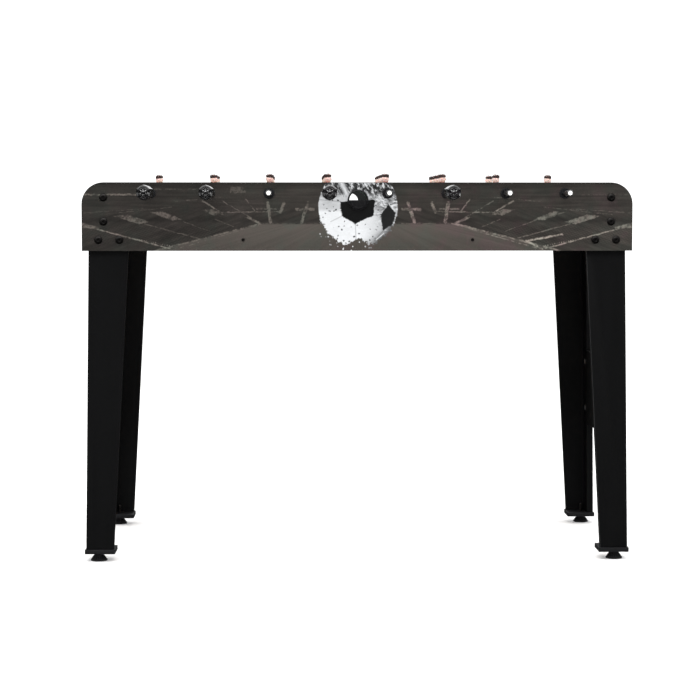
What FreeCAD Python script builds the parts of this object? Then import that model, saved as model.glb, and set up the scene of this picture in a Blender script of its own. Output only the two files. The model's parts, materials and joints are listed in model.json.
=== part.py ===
import FreeCAD, Part

import os
import re

import Sketcher

vector = FreeCAD.Vector
doc = FreeCAD.newDocument("FoosballTable")

# Driving dimensions in millimetres. The table stands on Z = 0, its length is along X and the
# handles of the near player are on the -Y side.
sizes = [
    ("table_width", 610, "over the outer faces of the two side panels"),
    ("panel_thick", 15, "side panel board"),
    ("panel_height", 150, "side panel, lower edge to top"),
    ("corner_radius", 48, "top corners of the side panels"),
    ("edge_band", 1, "strip glued on the top and ends of a side panel"),
    ("rod_drop", 24, "rod axis below the panel top"),
    ("rod_dia", 13, "tube, outside"),
    ("rod_wall", 1.2, "tube wall"),
    ("run_gap", 0.08, "radial clearance of a running fit"),
    ("seat_gap", 0.05, "radial clearance of a piece pressed on the tube"),
    ("screw_gap", 0.2, "radial clearance around a fastener"),
    ("free_end", 88, "tube beyond the far panel at rest"),
    ("handle_gap", 90, "panel face to handle at rest"),
    ("handle_length", 115, "grip"),
    ("handle_dia", 32, "grip"),
    ("handle_grip", 100, "depth of the tube inside the grip"),
    ("handle_edge", 4, "chamfer on the grip's ends"),
    ("plug_head", 2, "end plug beyond the tube"),
    ("plug_stem", 12, "end plug inside the tube"),
    ("hub_dia", 19.4, "bearing sleeve, outside"),
    ("flange_dia", 24, "bearing flange"),
    ("flange_thick", 3, "bearing flange"),
    ("thread_run", 6, "bearing sleeve inside the panel"),
    ("nut_size", 28, "bearing nut, across its corners"),
    ("nut_thick", 5, "bearing nut"),
    ("hub_gap", 0.3, "radial clearance round the bearing sleeve"),
    ("travel_five", 55, "slide of a five-man rod each way"),
    ("travel_wide", 75, "slide of the other rods each way"),
    ("stop_length", 15, "rubber stop"),
    ("stop_dia", 26, "rubber stop"),
    ("stop_margin", 1.5, "stop to bearing at the end of the travel"),
    ("stop_play", 5, "stop to the outermost man"),
    ("pair_spacing", 165, "between the two men of a defence rod"),
    ("trio_spacing", 160, "between neighbouring men of a three-man rod"),
    ("man_up", 44, "crown of a man above the rod axis"),
    ("man_down", 61, "sole of a man below the rod axis"),
    ("head_dia", 19, "man's head"),
    ("neck_dia", 10, "man's neck"),
    ("shoulder_up", 18, "shoulders above the rod axis"),
    ("shoulder_width", 24, "man across the shoulders"),
    ("shoulder_depth", 0.9, "man front to back at the shoulders, beyond the bore"),
    ("waist_down", 17, "waist below the rod axis"),
    ("waist_width", 18, "man across the waist"),
    ("waist_depth", 1.9, "man front to back at the waist, beyond the bore"),
    ("shin_width", 15, "legs at the ankle"),
    ("shin_depth", 8, "legs at the ankle"),
    ("foot_height", 11, "foot block"),
    ("foot_width", 17, "foot block"),
    ("toe_reach", 9, "toe in front of the rod axis"),
    ("heel_reach", 6, "heel behind the rod axis"),
    ("foot_gap", 5, "sole to playfield"),
    ("swing_gap", 8, "between men of neighbouring rods when both lie level"),
    ("end_gap", 34, "between a level man of the goal rod and the end panel"),
    ("end_thick", 15, "end panel board"),
    ("end_inset", 40, "end panel inside the ends of the side panels"),
    ("end_top_gap", 5, "end panel below the panel top"),
    ("end_skirt", 15, "end panel below the playfield"),
    ("goal_width", 190, "goal mouth"),
    ("goal_height", 60, "goal mouth"),
    ("field_thick", 9, "playfield board"),
    ("groove_depth", 5, "groove in the side panels that holds the playfield"),
    ("board_gap", 0.2, "clearance of a board in its groove or socket"),
    ("ramp_leg", 75, "corner ramp along each wall"),
    ("ramp_top_leg", 5, "corner ramp along each wall at its top"),
    ("ramp_height", 12, "corner ramp"),
    ("beam_offset", 252, "cross beam under the playfield, from the middle"),
    ("beam_thick", 15, "cross beam"),
    ("beam_rise", 6, "cross beam above the lower edge of the panels"),
    ("tray_wall", 2, "ball tray behind a goal"),
    ("tray_floor", 3, "ball tray bottom"),
    ("tray_side", 8, "ball tray wider than the goal mouth, each side"),
    ("tray_drop", 34, "ball tray below the playfield surface"),
    ("tray_rise", 1, "ball tray above the goal mouth"),
    ("tray_margin", 1, "ball tray inside the ends of the side panels"),
    ("tray_lug", 20, "screw lugs beside the ball tray"),
    ("tray_plate", 2.5, "screw lugs"),
    ("tray_screw_inset", 15, "tray screws from the tray's top and bottom"),
    ("cup_ring", 46, "rim of the ball entry"),
    ("cup_bore", 38, "ball entry"),
    ("cup_wall", 2, "ball entry"),
    ("cup_rim", 2, "rim thickness"),
    ("cup_lip", 2, "ball entry inside the panel"),
    ("cup_drop", 39, "ball entry below the panel top"),
    ("bolt_dia", 6, "panel bolt shank"),
    ("bolt_head", 18, "panel bolt head"),
    ("bolt_head_thick", 3, "panel bolt head"),
    ("bolt_bite", 13, "panel bolt in the board behind the panel"),
    ("leg_bolt_near", 36, "leg bolt from the end of the panel"),
    ("leg_bolt_far", 82, "leg bolt from the end of the panel"),
    ("end_bolt_low", 86, "end panel bolt below the panel top"),
    ("end_bolt_high", 33, "end panel bolt below the panel top"),
    ("screw_dia", 3.5, "small screw shank"),
    ("screw_head", 7, "small screw head"),
    ("screw_head_thick", 1.5, "small screw head"),
    ("screw_bite", 15, "small screw in a cross beam"),
    ("tray_bite", 9.5, "small screw in an end panel"),
    ("leg_thick", 15, "leg boards"),
    ("leg_length", 665, "leg boards below the side panels"),
    ("leg_top_gap", 3, "leg boards below the playfield"),
    ("leg_top_width", 87, "each face of a leg at the panel's lower edge"),
    ("leg_foot_width", 61, "each face of a leg at its foot"),
    ("leg_top_inset", 13, "leg inside the end of the panel at its lower edge"),
    ("leg_foot_inset", 2, "leg inside the end of the panel at its foot"),
    ("rail_rise", 252, "end rail above the floor"),
    ("rail_height", 182, "end rail"),
    ("cam_low", 37, "lower cam above the rail's lower edge"),
    ("cam_high", 29, "upper cam below the rail's upper edge"),
    ("cam_inset", 30, "cam centre from the joint"),
    ("cam_dia", 15, "cam"),
    ("cam_depth", 11, "cam"),
    ("pin_dia", 7, "joint pin"),
    ("pin_bite", 25, "joint pin in the rail"),
    ("cap_height", 10, "plastic cap under a leg"),
    ("cap_proud", 3, "cap beyond the leg's faces"),
    ("cap_recess", 2, "leg boards in the cap"),
    ("foot_rise", 18, "cap above the floor"),
    ("foot_centre", 26, "leveller from the leg's outer faces"),
    ("foot_dia", 37, "leveller at the floor"),
    ("foot_neck", 22, "leveller at its top"),
    ("foot_bell", 14, "leveller without its stem"),
    ("foot_edge", 3, "upright rim of the leveller"),
    ("stem_dia", 8, "leveller stem"),
    ("stem_above", 18, "leveller stem above the cap"),
]
aliases = {alias for alias, value, note in sizes}

sheet = doc.addObject("Spreadsheet::Sheet", "Dims")
for row, (alias, value, note) in enumerate(sizes, start=1):
    sheet.set(f"A{row}", note)
    sheet.set(f"B{row}", str(value))
    sheet.setAlias(f"B{row}", alias)
doc.recompute()

# Levels above the floor.
board_base = "(foot_rise + cap_height - cap_recess)"
panel_base = f"({board_base} + leg_length)"
panel_top = f"({panel_base} + panel_height)"
rod_axis = f"({panel_top} - rod_drop)"
field_top = f"({rod_axis} - man_down - foot_gap)"
field_under = f"({field_top} - field_thick)"
leg_top = f"({field_under} - leg_top_gap)"
end_base = f"({field_under} - end_skirt)"
end_top = f"({panel_top} - end_top_gap)"
leg_bolt_level = f"(({panel_base} + {leg_top}) / 2)"
rail_top = "(rail_rise + rail_height)"
cam_levels = ["(rail_rise + cam_low)", f"({rail_top} - cam_high)"]

# Places along the table.
rod_pitch = "(2 * man_down + swing_gap)"
end_inner = f"(3.5 * {rod_pitch} + man_down + end_gap)"
end_outer = f"({end_inner} + end_thick)"
half_length = f"({end_outer} + end_inset)"
end_middle = f"({end_inner} + end_thick / 2)"

# Places across the table.
panel_outer = "(table_width / 2)"
panel_inner = "(table_width / 2 - panel_thick)"
stop_face = f"({panel_inner} - thread_run - stop_margin)"

upright = FreeCAD.Rotation()
half_turn = FreeCAD.Rotation(vector(0, 0, 1), 180)
towards_rear = FreeCAD.Rotation(vector(1, 0, 0), -90)
towards_front = FreeCAD.Rotation(vector(1, 0, 0), 90)
towards_right = FreeCAD.Rotation(vector(0, 1, 0), 90)
towards_left = FreeCAD.Rotation(vector(0, 1, 0), -90)


def scoped(text):
    return re.sub(r"[a-z][a-z_]*", lambda word: f"Dims.{word.group()}" if word.group() in aliases else word.group(), text)


def number(text):
    return float(sheet.evalExpression(scoped(text)))


def bind(item, **values):
    for name, text in values.items():
        item.setExpression(name, scoped(text))
    return item


def place(item, x="0", y="0", z="0", turn=upright):
    item.Placement = FreeCAD.Placement(vector(), turn)
    for axis, text in zip("xyz", (x, y, z)):
        item.setExpression(f"Placement.Base.{axis}", scoped(text))
    return item


def body(label):
    item = doc.addObject("PartDesign::Body", label)
    item.Label = label
    return item


def sketch(owner, name, plane="XZ_Plane", offset="0"):
    flat = owner.newObject("Sketcher::SketchObject", name)
    support = [item for item in owner.Origin.OriginFeatures if item.Role == plane][0]
    flat.AttachmentSupport = [(support, "")]
    flat.MapMode = "FlatFace"
    flat.setExpression("AttachmentOffset.Base.z", scoped(offset))
    return flat


def pin(flat, item, point, across, up):
    for kind, text in (("DistanceX", across), ("DistanceY", up)):
        index = flat.addConstraint(Sketcher.Constraint(kind, -1, 1, item, point, number(text)))
        flat.setExpression(f"Constraints[{index}]", scoped(text))


def outline(flat, corners):
    points = [vector(number(across), number(up), 0) for across, up in corners]
    first = flat.GeometryCount
    for index, start in enumerate(points):
        end = points[(index + 1) % len(points)]
        flat.addGeometry(Part.LineSegment(start, end), False)
    for index, (across, up) in enumerate(corners):
        after = first + (index + 1) % len(corners)
        flat.addConstraint(Sketcher.Constraint("Coincident", first + index, 2, after, 1))
        pin(flat, first + index, 1, across, up)


def rectangle(flat, left, right, low, high):
    outline(flat, [(left, low), (right, low), (right, high), (left, high)])


def circle(flat, across, up, diameter):
    centre = vector(number(across), number(up), 0)
    index = flat.addGeometry(Part.Circle(centre, vector(0, 0, 1), number(diameter) / 2), False)
    pin(flat, index, 3, across, up)
    size = flat.addConstraint(Sketcher.Constraint("Diameter", index, number(diameter)))
    flat.setExpression(f"Constraints[{size}]", scoped(diameter))


def pad(owner, flat, length, reverse=False):
    feature = owner.newObject("PartDesign::Pad", f"{flat.Name}_pad")
    feature.Profile = flat
    feature.Reversed = reverse
    bind(feature, Length=length)
    doc.recompute()
    return feature


def pocket(owner, flat, depth=None, reverse=False):
    before = owner.Shape.Volume
    feature = owner.newObject("PartDesign::Pocket", f"{flat.Name}_pocket")
    feature.Profile = flat
    feature.Reversed = reverse
    if depth is None:
        feature.Type = "ThroughAll"
    else:
        bind(feature, Length=depth)
    doc.recompute()
    if owner.Shape.Volume > before - 1:
        raise RuntimeError(f"{feature.Name} cuts nothing")
    return feature


# A turned piece: the profile is a list of (radius, height) corners round its own Z axis.
def turned(label, profile):
    item = body(label)
    flat = sketch(item, f"{label}_profile")
    outline(flat, profile)
    feature = item.newObject("PartDesign::Revolution", f"{label}_turn")
    feature.Profile = flat
    feature.ReferenceAxis = (flat, ["V_Axis"])
    feature.Angle = 360
    doc.recompute()
    return item


def ring(label, inner, outer, low, high):
    return turned(label, [(inner, low), (outer, low), (outer, high), (inner, high)])


def box(name, x, y, z):
    item = doc.addObject("Part::Box", name)
    bind(item, Length=f"{x[1]} - ({x[0]})", Width=f"{y[1]} - ({y[0]})", Height=f"{z[1]} - ({z[0]})")
    return place(item, x[0], y[0], z[0])


def rod(name, diameter, length, x, y, z, turn):
    item = doc.addObject("Part::Cylinder", name)
    bind(item, Radius=f"({diameter}) / 2", Height=length)
    return place(item, x, y, z, turn)


# A block between a rectangle (x0, x1, y0, y1) at its lower level and another at its upper one.
def block(name, low, high, bottom, top):
    item = doc.addObject("Part::Wedge", name)
    item.Placement = FreeCAD.Placement(vector(), towards_front)
    bind(item, Xmin=bottom[0], Xmax=bottom[1], Zmin=f"-({bottom[3]})", Zmax=f"-({bottom[2]})")
    bind(item, X2min=top[0], X2max=top[1], Z2min=f"-({top[3]})", Z2max=f"-({top[2]})")
    bind(item, Ymin=low, Ymax=high)
    return item


def fuse(name, members):
    item = doc.addObject("Part::MultiFuse", name)
    item.Shapes = members
    return item


def cut(name, base, tools):
    item = doc.addObject("Part::Cut", name)
    item.Base = base
    item.Tool = tools[0] if len(tools) == 1 else fuse(f"{name}_tools", tools)
    return item


def copy(source, name, x="0", y="0", z="0", turn=upright):
    item = doc.addObject("App::Link", name)
    item.LinkedObject = source
    return place(item, x, y, z, turn)


def group(label, members):
    item = doc.addObject("Part::Compound", label)
    item.Label = label
    item.Links = members
    return item


def mirrored(label, source, normal):
    item = doc.addObject("Part::Mirroring", label)
    item.Label = label
    item.Source = source
    item.Normal = normal
    return item


nodes = []

# Side panels: a board with two rounded top corners and a strip glued round its edge.
rod_places = [f"({index} - 4.5) * {rod_pitch}" for index in range(1, 9)]
leg_bolt_places = [f"({half_length} - leg_bolt_near)", f"({half_length} - leg_bolt_far)"]
bolt_places = []
for side in ("", "-"):
    for across in leg_bolt_places:
        bolt_places.append((f"{side}{across}", leg_bolt_level))
    for drop in ("end_bolt_low", "end_bolt_high"):
        bolt_places.append((f"{side}{end_middle}", f"{panel_top} - {drop}"))
cup_level = f"({panel_top} - cup_drop)"


def panel_blank(label, inset):
    item = body(label)
    flat = sketch(item, f"{label}_outline")
    rectangle(flat, f"-({half_length} - {inset})", f"{half_length} - {inset}", panel_base, f"{panel_top} - {inset}")
    board = pad(item, flat, "panel_thick")
    corners = []
    for index, edge in enumerate(board.Shape.Edges, start=1):
        middle = edge.CenterOfMass
        if abs(middle.z - number(f"{panel_top} - {inset}")) < 0.01 and edge.Length < number("panel_thick") + 0.01:
            corners.append(f"Edge{index}")
    rounding = item.newObject("PartDesign::Fillet", f"{label}_corners")
    rounding.Base = (board, corners)
    bind(rounding, Radius=f"corner_radius - {inset}")
    doc.recompute()
    return place(item, y=f"-{panel_inner}")


front_side_panel = panel_blank("front_side_panel", "edge_band")
holes = sketch(front_side_panel, "panel_holes")
for across in rod_places:
    circle(holes, across, rod_axis, "hub_dia + 2 * hub_gap")
for across, level in bolt_places:
    circle(holes, across, level, "bolt_dia + 2 * screw_gap")
for side in ("", "-"):
    circle(holes, f"{side}beam_offset", leg_bolt_level, "screw_dia + 2 * screw_gap")
circle(holes, "0", cup_level, "cup_bore + 2 * cup_wall + 2 * hub_gap")
pocket(front_side_panel, holes, reverse=True)
groove = sketch(front_side_panel, "field_groove")
rectangle(groove, f"-{end_inner}", end_inner, field_under, f"{field_top} + board_gap")
pocket(front_side_panel, groove, depth="groove_depth", reverse=True)
nodes.append(front_side_panel)
nodes.append(mirrored("rear_side_panel", front_side_panel, vector(0, 1, 0)))

band_outside = panel_blank("band_outside", "0")
band_inside = panel_blank("band_inside", "edge_band")
front_band = cut("front_band", band_outside, [band_inside])
rear_band = mirrored("rear_band", front_band, vector(0, 1, 0))
nodes.append(group("edge_bands", [front_band, rear_band]))

# End panels, with the goal mouth and a notch at each lower corner for the leg board.
notch_in = f"({panel_inner} - leg_thick - 1)"
notch_up = f"({leg_top} + 2)"
right_end_panel = body("right_end_panel")
end_outline = sketch(right_end_panel, "end_outline", "YZ_Plane")
outline(end_outline, [
    (f"-{notch_in}", end_base),
    (notch_in, end_base),
    (notch_in, notch_up),
    (panel_inner, notch_up),
    (panel_inner, end_top),
    (f"-{panel_inner}", end_top),
    (f"-{panel_inner}", notch_up),
    (f"-{notch_in}", notch_up),
])
rectangle(end_outline, "-goal_width / 2", "goal_width / 2", field_top, f"{field_top} + goal_height")
pad(right_end_panel, end_outline, "end_thick")
tray_top = f"({field_top} + goal_height + tray_rise)"
tray_base = f"({field_top} - tray_drop)"
tray_half = "(goal_width / 2 + tray_side + tray_wall)"
tray_screws = []
for side in ("", "-"):
    for level in (f"({tray_base} + tray_screw_inset)", f"({tray_top} - tray_screw_inset)"):
        tray_screws.append((f"{side}({tray_half} + tray_lug / 2)", level))
pilots = sketch(right_end_panel, "tray_pilots", "YZ_Plane", "end_thick")
for across, level in tray_screws:
    circle(pilots, across, level, "screw_dia + 2 * screw_gap")
pocket(right_end_panel, pilots, depth="tray_bite + 1")
for name, face, reverse in (("front", panel_inner, False), ("rear", f"-{panel_inner}", True)):
    pilots = sketch(right_end_panel, f"{name}_pilots", "XZ_Plane", face)
    for drop in ("end_bolt_low", "end_bolt_high"):
        circle(pilots, "end_thick / 2", f"{panel_top} - {drop}", "bolt_dia + 2 * screw_gap")
    pocket(right_end_panel, pilots, depth="bolt_bite + 1", reverse=reverse)
place(right_end_panel, x=end_inner)
nodes.append(right_end_panel)
nodes.append(mirrored("left_end_panel", right_end_panel, vector(1, 0, 0)))

# Playfield, held in the grooves of the side panels and on two cross beams.
playfield = body("playfield")
field_outline = sketch(playfield, "field_outline", "XY_Plane")
field_half_length = f"({end_inner} - board_gap)"
field_half_width = f"({panel_inner} + groove_depth - board_gap)"
rectangle(field_outline, f"-{field_half_length}", field_half_length, f"-{field_half_width}", field_half_width)
pad(playfield, field_outline, "field_thick")
place(playfield, z=field_under)
nodes.append(playfield)

beams = []
for name, side in (("right", ""), ("left", "-")):
    beam_x = (f"{side}beam_offset - beam_thick / 2", f"{side}beam_offset + beam_thick / 2")
    beam_z = (f"({panel_base} + beam_rise)", field_under)
    plank = box(f"{name}_beam_plank", beam_x, (f"-{panel_inner}", panel_inner), beam_z)
    drills = []
    for end, face, turn in (("front", f"-{panel_inner}", towards_rear), ("rear", panel_inner, towards_front)):
        drills.append(rod(f"{name}_beam_{end}_drill", "screw_dia + 2 * screw_gap", "screw_bite + 1",
                          f"{side}beam_offset", face, leg_bolt_level, turn))
    beams.append(cut(f"{name}_beam", plank, drills))
nodes.append(group("playfield_beams", beams))

# Corner ramps, which send a ball back from the corners.
ramp = body("ramp")
ramp_low = sketch(ramp, "ramp_low", "XY_Plane")
outline(ramp_low, [("0", "0"), ("-ramp_leg", "0"), ("0", "-ramp_leg")])
ramp_high = sketch(ramp, "ramp_high", "XY_Plane", "ramp_height")
outline(ramp_high, [("0", "0"), ("-ramp_top_leg", "0"), ("0", "-ramp_top_leg")])
rise = ramp.newObject("PartDesign::AdditiveLoft", "ramp_rise")
rise.Profile = ramp_low
rise.Sections = [ramp_high]
rise.Ruled = True
doc.recompute()
place(ramp, end_inner, panel_inner, field_top)
left_ramp = mirrored("left_ramp", ramp, vector(1, 0, 0))
ramp_pair = group("ramp_pair", [ramp, left_ramp])
nodes.append(group("corner_ramps", [ramp_pair, mirrored("ramp_pair_front", ramp_pair, vector(0, 1, 0))]))

# Ball trays behind the goals: open at the top and towards the goal mouth, with screw lugs.
tray_far = f"({half_length} - tray_margin)"
tray_shell = box("tray_shell", (end_outer, tray_far), (f"-{tray_half}", tray_half), (tray_base, tray_top))
lug_half = f"({tray_half} + tray_lug)"
tray_lugs = box("tray_lugs", (end_outer, f"({end_outer} + tray_plate)"), (f"-{lug_half}", lug_half),
                (tray_base, tray_top))
tray_room = box("tray_room", (f"({end_outer} - 1)", f"({tray_far} - tray_wall)"),
                (f"-({tray_half} - tray_wall)", f"({tray_half} - tray_wall)"),
                (f"({tray_base} + tray_floor)", f"({tray_top} + 1)"))
tray_drills = []
for index, (across, level) in enumerate(tray_screws, start=1):
    tray_drills.append(rod(f"tray_drill_{index}", "screw_dia + 2 * screw_gap", "tray_plate + 2",
                           f"({end_outer} - 1)", across, level, towards_right))
right_goal_tray = cut("right_goal_tray", fuse("tray_block", [tray_shell, tray_lugs]), [tray_room, *tray_drills])
nodes.append(right_goal_tray)
nodes.append(mirrored("left_goal_tray", right_goal_tray, vector(1, 0, 0)))

# Ball entries: a sleeve through each side panel with a rim and a quarter bowl outside.
# This one is the front one, with the panel's outer face at Y = 0.
cup_rim = rod("cup_rim", "cup_ring", "cup_rim", "0", "0", "0", towards_front)
cup_sleeve = rod("cup_sleeve", "cup_bore + 2 * cup_wall", "panel_thick + cup_lip", "0", "0", "0", towards_rear)
cup_ball = doc.addObject("Part::Sphere", "cup_ball")
cup_hollow = doc.addObject("Part::Sphere", "cup_hollow")
bind(cup_ball, Radius="cup_bore / 2 + cup_wall")
bind(cup_hollow, Radius="cup_bore / 2")
for sphere in (cup_ball, cup_hollow):
    sphere.Angle1 = -90
    sphere.Angle2 = 0
    sphere.Angle3 = 180
    sphere.Placement = FreeCAD.Placement(vector(), half_turn)
cup_bowl = cut("cup_bowl", cup_ball, [cup_hollow])
cup_hole = rod("cup_hole", "cup_bore", "panel_thick + cup_lip + cup_rim + 2", "0", "-(cup_rim + 1)", "0", towards_rear)
cup_tube = cut("cup_tube", fuse("cup_turned", [cup_rim, cup_sleeve]), [cup_hole])
cup = fuse("cup", [cup_tube, cup_bowl])
nodes.append(group("ball_entries", [
    copy(cup, "front_cup", "0", f"-{panel_outer}", cup_level),
    copy(cup, "rear_cup", "0", panel_outer, cup_level, half_turn),
]))

# Rod bearings: a flanged sleeve through the side panel, held by a hexagon nut inside it.
bearing = turned("bearing", [
    ("rod_dia / 2 + run_gap", "-flange_thick"),
    ("hub_dia / 2", "-flange_thick"),
    ("flange_dia / 2", "-flange_thick / 2"),
    ("flange_dia / 2", "0"),
    ("hub_dia / 2", "0"),
    ("hub_dia / 2", "panel_thick + thread_run"),
    ("rod_dia / 2 + run_gap", "panel_thick + thread_run"),
])
nut_prism = doc.addObject("Part::Prism", "nut_prism")
nut_prism.Polygon = 6
bind(nut_prism, Circumradius="nut_size / 2", Height="nut_thick")
nut_bore = rod("nut_bore", "hub_dia + 2 * hub_gap", "nut_thick + 2", "0", "0", "-1", upright)
nut = cut("nut", nut_prism, [nut_bore])
bearings = []
nuts = []
for index, across in enumerate(rod_places, start=1):
    bearings.append(copy(bearing, f"front_bearing_{index}", across, f"-{panel_outer}", rod_axis, towards_rear))
    bearings.append(copy(bearing, f"rear_bearing_{index}", across, panel_outer, rod_axis, towards_front))
    nuts.append(copy(nut, f"front_nut_{index}", across, f"-{panel_inner}", rod_axis, towards_rear))
    nuts.append(copy(nut, f"rear_nut_{index}", across, panel_inner, rod_axis, towards_front))
nodes.append(group("rod_bearings", bearings))
nodes.append(group("bearing_nuts", nuts))

# Panel bolts, all alike: into the end panels' edges and into the leg boards.
bolt = turned("bolt", [
    ("0", "-bolt_head_thick"),
    ("bolt_head / 2 - 2", "-bolt_head_thick"),
    ("bolt_head / 2", "-bolt_head_thick + 1.5"),
    ("bolt_head / 2", "0"),
    ("bolt_dia / 2", "0"),
    ("bolt_dia / 2", "panel_thick + bolt_bite"),
    ("0", "panel_thick + bolt_bite"),
])
bolts = []
for index, (across, level) in enumerate(bolt_places, start=1):
    bolts.append(copy(bolt, f"front_bolt_{index}", across, f"-{panel_outer}", level, towards_rear))
    bolts.append(copy(bolt, f"rear_bolt_{index}", across, panel_outer, level, towards_front))
nodes.append(group("panel_bolts", bolts))


def screw(label, length):
    return turned(label, [
        ("0", "-screw_head_thick"),
        ("screw_head / 2", "-screw_head_thick"),
        ("screw_head / 2", "0"),
        ("screw_dia / 2", "0"),
        ("screw_dia / 2", length),
        ("0", length),
    ])


beam_screw = screw("beam_screw", "panel_thick + screw_bite")
tray_screw = screw("tray_screw", "tray_plate + tray_bite")
screws = []
for name, side in (("right", ""), ("left", "-")):
    across = f"{side}beam_offset"
    screws.append(copy(beam_screw, f"{name}_front_screw", across, f"-{panel_outer}", leg_bolt_level, towards_rear))
    screws.append(copy(beam_screw, f"{name}_rear_screw", across, panel_outer, leg_bolt_level, towards_front))
lug_face = f"({end_outer} + tray_plate)"
for index, (across, level) in enumerate(tray_screws, start=1):
    screws.append(copy(tray_screw, f"right_tray_screw_{index}", lug_face, across, level, towards_left))
    screws.append(copy(tray_screw, f"left_tray_screw_{index}", f"-{lug_face}", across, level, towards_right))
nodes.append(group("small_screws", screws))


# Legs: two tapered boards glued at a corner. The outer corner leans outwards a little.
def leg_share(level):
    return f"(({level} - {board_base}) / leg_length)"


def leg_width(level):
    return f"(leg_foot_width + (leg_top_width - leg_foot_width) * {leg_share(level)})"


def leg_outer(level):
    return f"({half_length} - leg_foot_inset - (leg_top_inset - leg_foot_inset) * {leg_share(level)})"


def joint_line(level):
    return f"({panel_inner} - {leg_width(level)})"


def front_board_at(level):
    return (f"{leg_outer(level)} - {leg_width(level)}", leg_outer(level),
            f"-{panel_inner}", f"-{panel_inner} + leg_thick")


def side_board_at(level):
    return (f"{leg_outer(level)} - leg_thick", leg_outer(level),
            f"-{panel_inner} + leg_thick", f"-{joint_line(level)}")


def rail_at(level):
    return (f"{leg_outer(level)} - leg_thick", leg_outer(level), f"-{joint_line(level)}", joint_line(level))


front_board = block("front_board", board_base, leg_top, front_board_at(board_base), front_board_at(leg_top))
side_board = block("side_board", board_base, leg_top, side_board_at(board_base), side_board_at(leg_top))
rail = block("rail", "rail_rise", rail_top, rail_at("rail_rise"), rail_at(rail_top))
board_drills = []
for index, across in enumerate(leg_bolt_places, start=1):
    board_drills.append(rod(f"board_drill_{index}", "bolt_dia + 2 * screw_gap", "leg_thick + 2",
                            across, f"-{panel_inner} - 1", leg_bolt_level, towards_rear))
side_drills = []
rail_drills = []
cams = []
pins = []
cam = turned("cam", [("0", "0"), ("cam_dia / 2", "0"), ("cam_dia / 2", "cam_depth"), ("0", "cam_depth")])
joint_pin = turned("joint_pin", [
    ("0", "-pin_bite"),
    ("pin_dia / 2", "-pin_bite"),
    ("pin_dia / 2", "cam_inset - cam_dia / 2 - screw_gap - 0.3"),
    ("0", "cam_inset - cam_dia / 2 - screw_gap - 0.3"),
])
for index, level in enumerate(cam_levels, start=1):
    cam_y = f"({joint_line(level)} + cam_inset)"
    cam_x = f"({leg_outer(level)} - leg_thick + screw_gap)"
    pin_x = f"({leg_outer(level)} - leg_thick / 2)"
    side_drills.append(rod(f"cam_drill_{index}", "cam_dia + 2 * screw_gap", "cam_depth + 2 + screw_gap",
                           f"{cam_x} - 2", f"-{cam_y}", level, towards_right))
    side_drills.append(rod(f"pin_drill_{index}", "pin_dia + 2 * screw_gap", "cam_inset + 2",
                           pin_x, f"-{cam_y}", level, towards_rear))
    for end, side, turn in (("front", "-", towards_rear), ("rear", "", towards_front)):
        start = f"{side}({joint_line(level)} + 2)"
        rail_drills.append(rod(f"rail_{end}_drill_{index}", "pin_dia + 2 * screw_gap", "pin_bite + 3",
                               pin_x, start, level, turn))
    for name, mark in (("right", ""), ("left", "-")):
        cam_turn = towards_right if name == "right" else towards_left
        for end, side, turn in (("front", "-", towards_front), ("rear", "", towards_rear)):
            cams.append(copy(cam, f"{name}_{end}_cam_{index}", f"{mark}{cam_x}", f"{side}{cam_y}", level, cam_turn))
            pins.append(copy(joint_pin, f"{name}_{end}_pin_{index}", f"{mark}{pin_x}",
                             f"{side}{joint_line(level)}", level, turn))
front_right_leg = group("front_right_leg", [
    cut("front_board_drilled", front_board, board_drills),
    cut("side_board_drilled", side_board, side_drills),
])
front_left_leg = mirrored("front_left_leg", front_right_leg, vector(1, 0, 0))
nodes.append(front_right_leg)
nodes.append(front_left_leg)
nodes.append(mirrored("rear_right_leg", front_right_leg, vector(0, 1, 0)))
nodes.append(mirrored("rear_left_leg", front_left_leg, vector(0, 1, 0)))
right_end_rail = cut("right_end_rail", rail, rail_drills)
nodes.append(right_end_rail)
nodes.append(mirrored("left_end_rail", right_end_rail, vector(1, 0, 0)))
nodes.append(group("rail_cams", cams))
nodes.append(group("rail_pins", pins))

# Leg caps: a square plate with a shallow L-shaped socket for the two boards.
corner_x = leg_outer(board_base)
cap_top = "(foot_rise + cap_height)"
cap_far = f"({corner_x} + cap_proud)"
cap_plate = box("cap_plate", (f"({cap_far} - leg_foot_width - 2 * cap_proud)", cap_far),
                (f"-({panel_inner} + cap_proud)", f"-({panel_inner} - leg_foot_width - cap_proud)"),
                ("foot_rise", cap_top))
socket_x = (f"({corner_x} - leg_foot_width - board_gap)", f"({corner_x} + board_gap)")
socket_y = (f"-({panel_inner} + board_gap)", f"-({panel_inner} - leg_foot_width - board_gap)")
front_socket = box("front_socket", socket_x, (socket_y[0], f"-({panel_inner} - leg_thick - board_gap)"),
                   (board_base, f"({cap_top} + 1)"))
side_socket = box("side_socket", (f"({corner_x} - leg_thick - board_gap)", socket_x[1]), socket_y,
                  (board_base, f"({cap_top} + 1)"))
foot_x = f"({corner_x} - foot_centre)"
foot_y = f"({panel_inner} - foot_centre)"
stem_bore = rod("stem_bore", "stem_dia + 2 * run_gap", "cap_height + 2", foot_x, f"-{foot_y}",
                "foot_rise - 1", upright)
right_cap = cut("right_cap", cap_plate, [front_socket, side_socket, stem_bore])
cap_pair = group("cap_pair", [right_cap, mirrored("left_cap", right_cap, vector(1, 0, 0))])
nodes.append(group("leg_caps", [cap_pair, mirrored("cap_pair_rear", cap_pair, vector(0, 1, 0))]))

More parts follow.
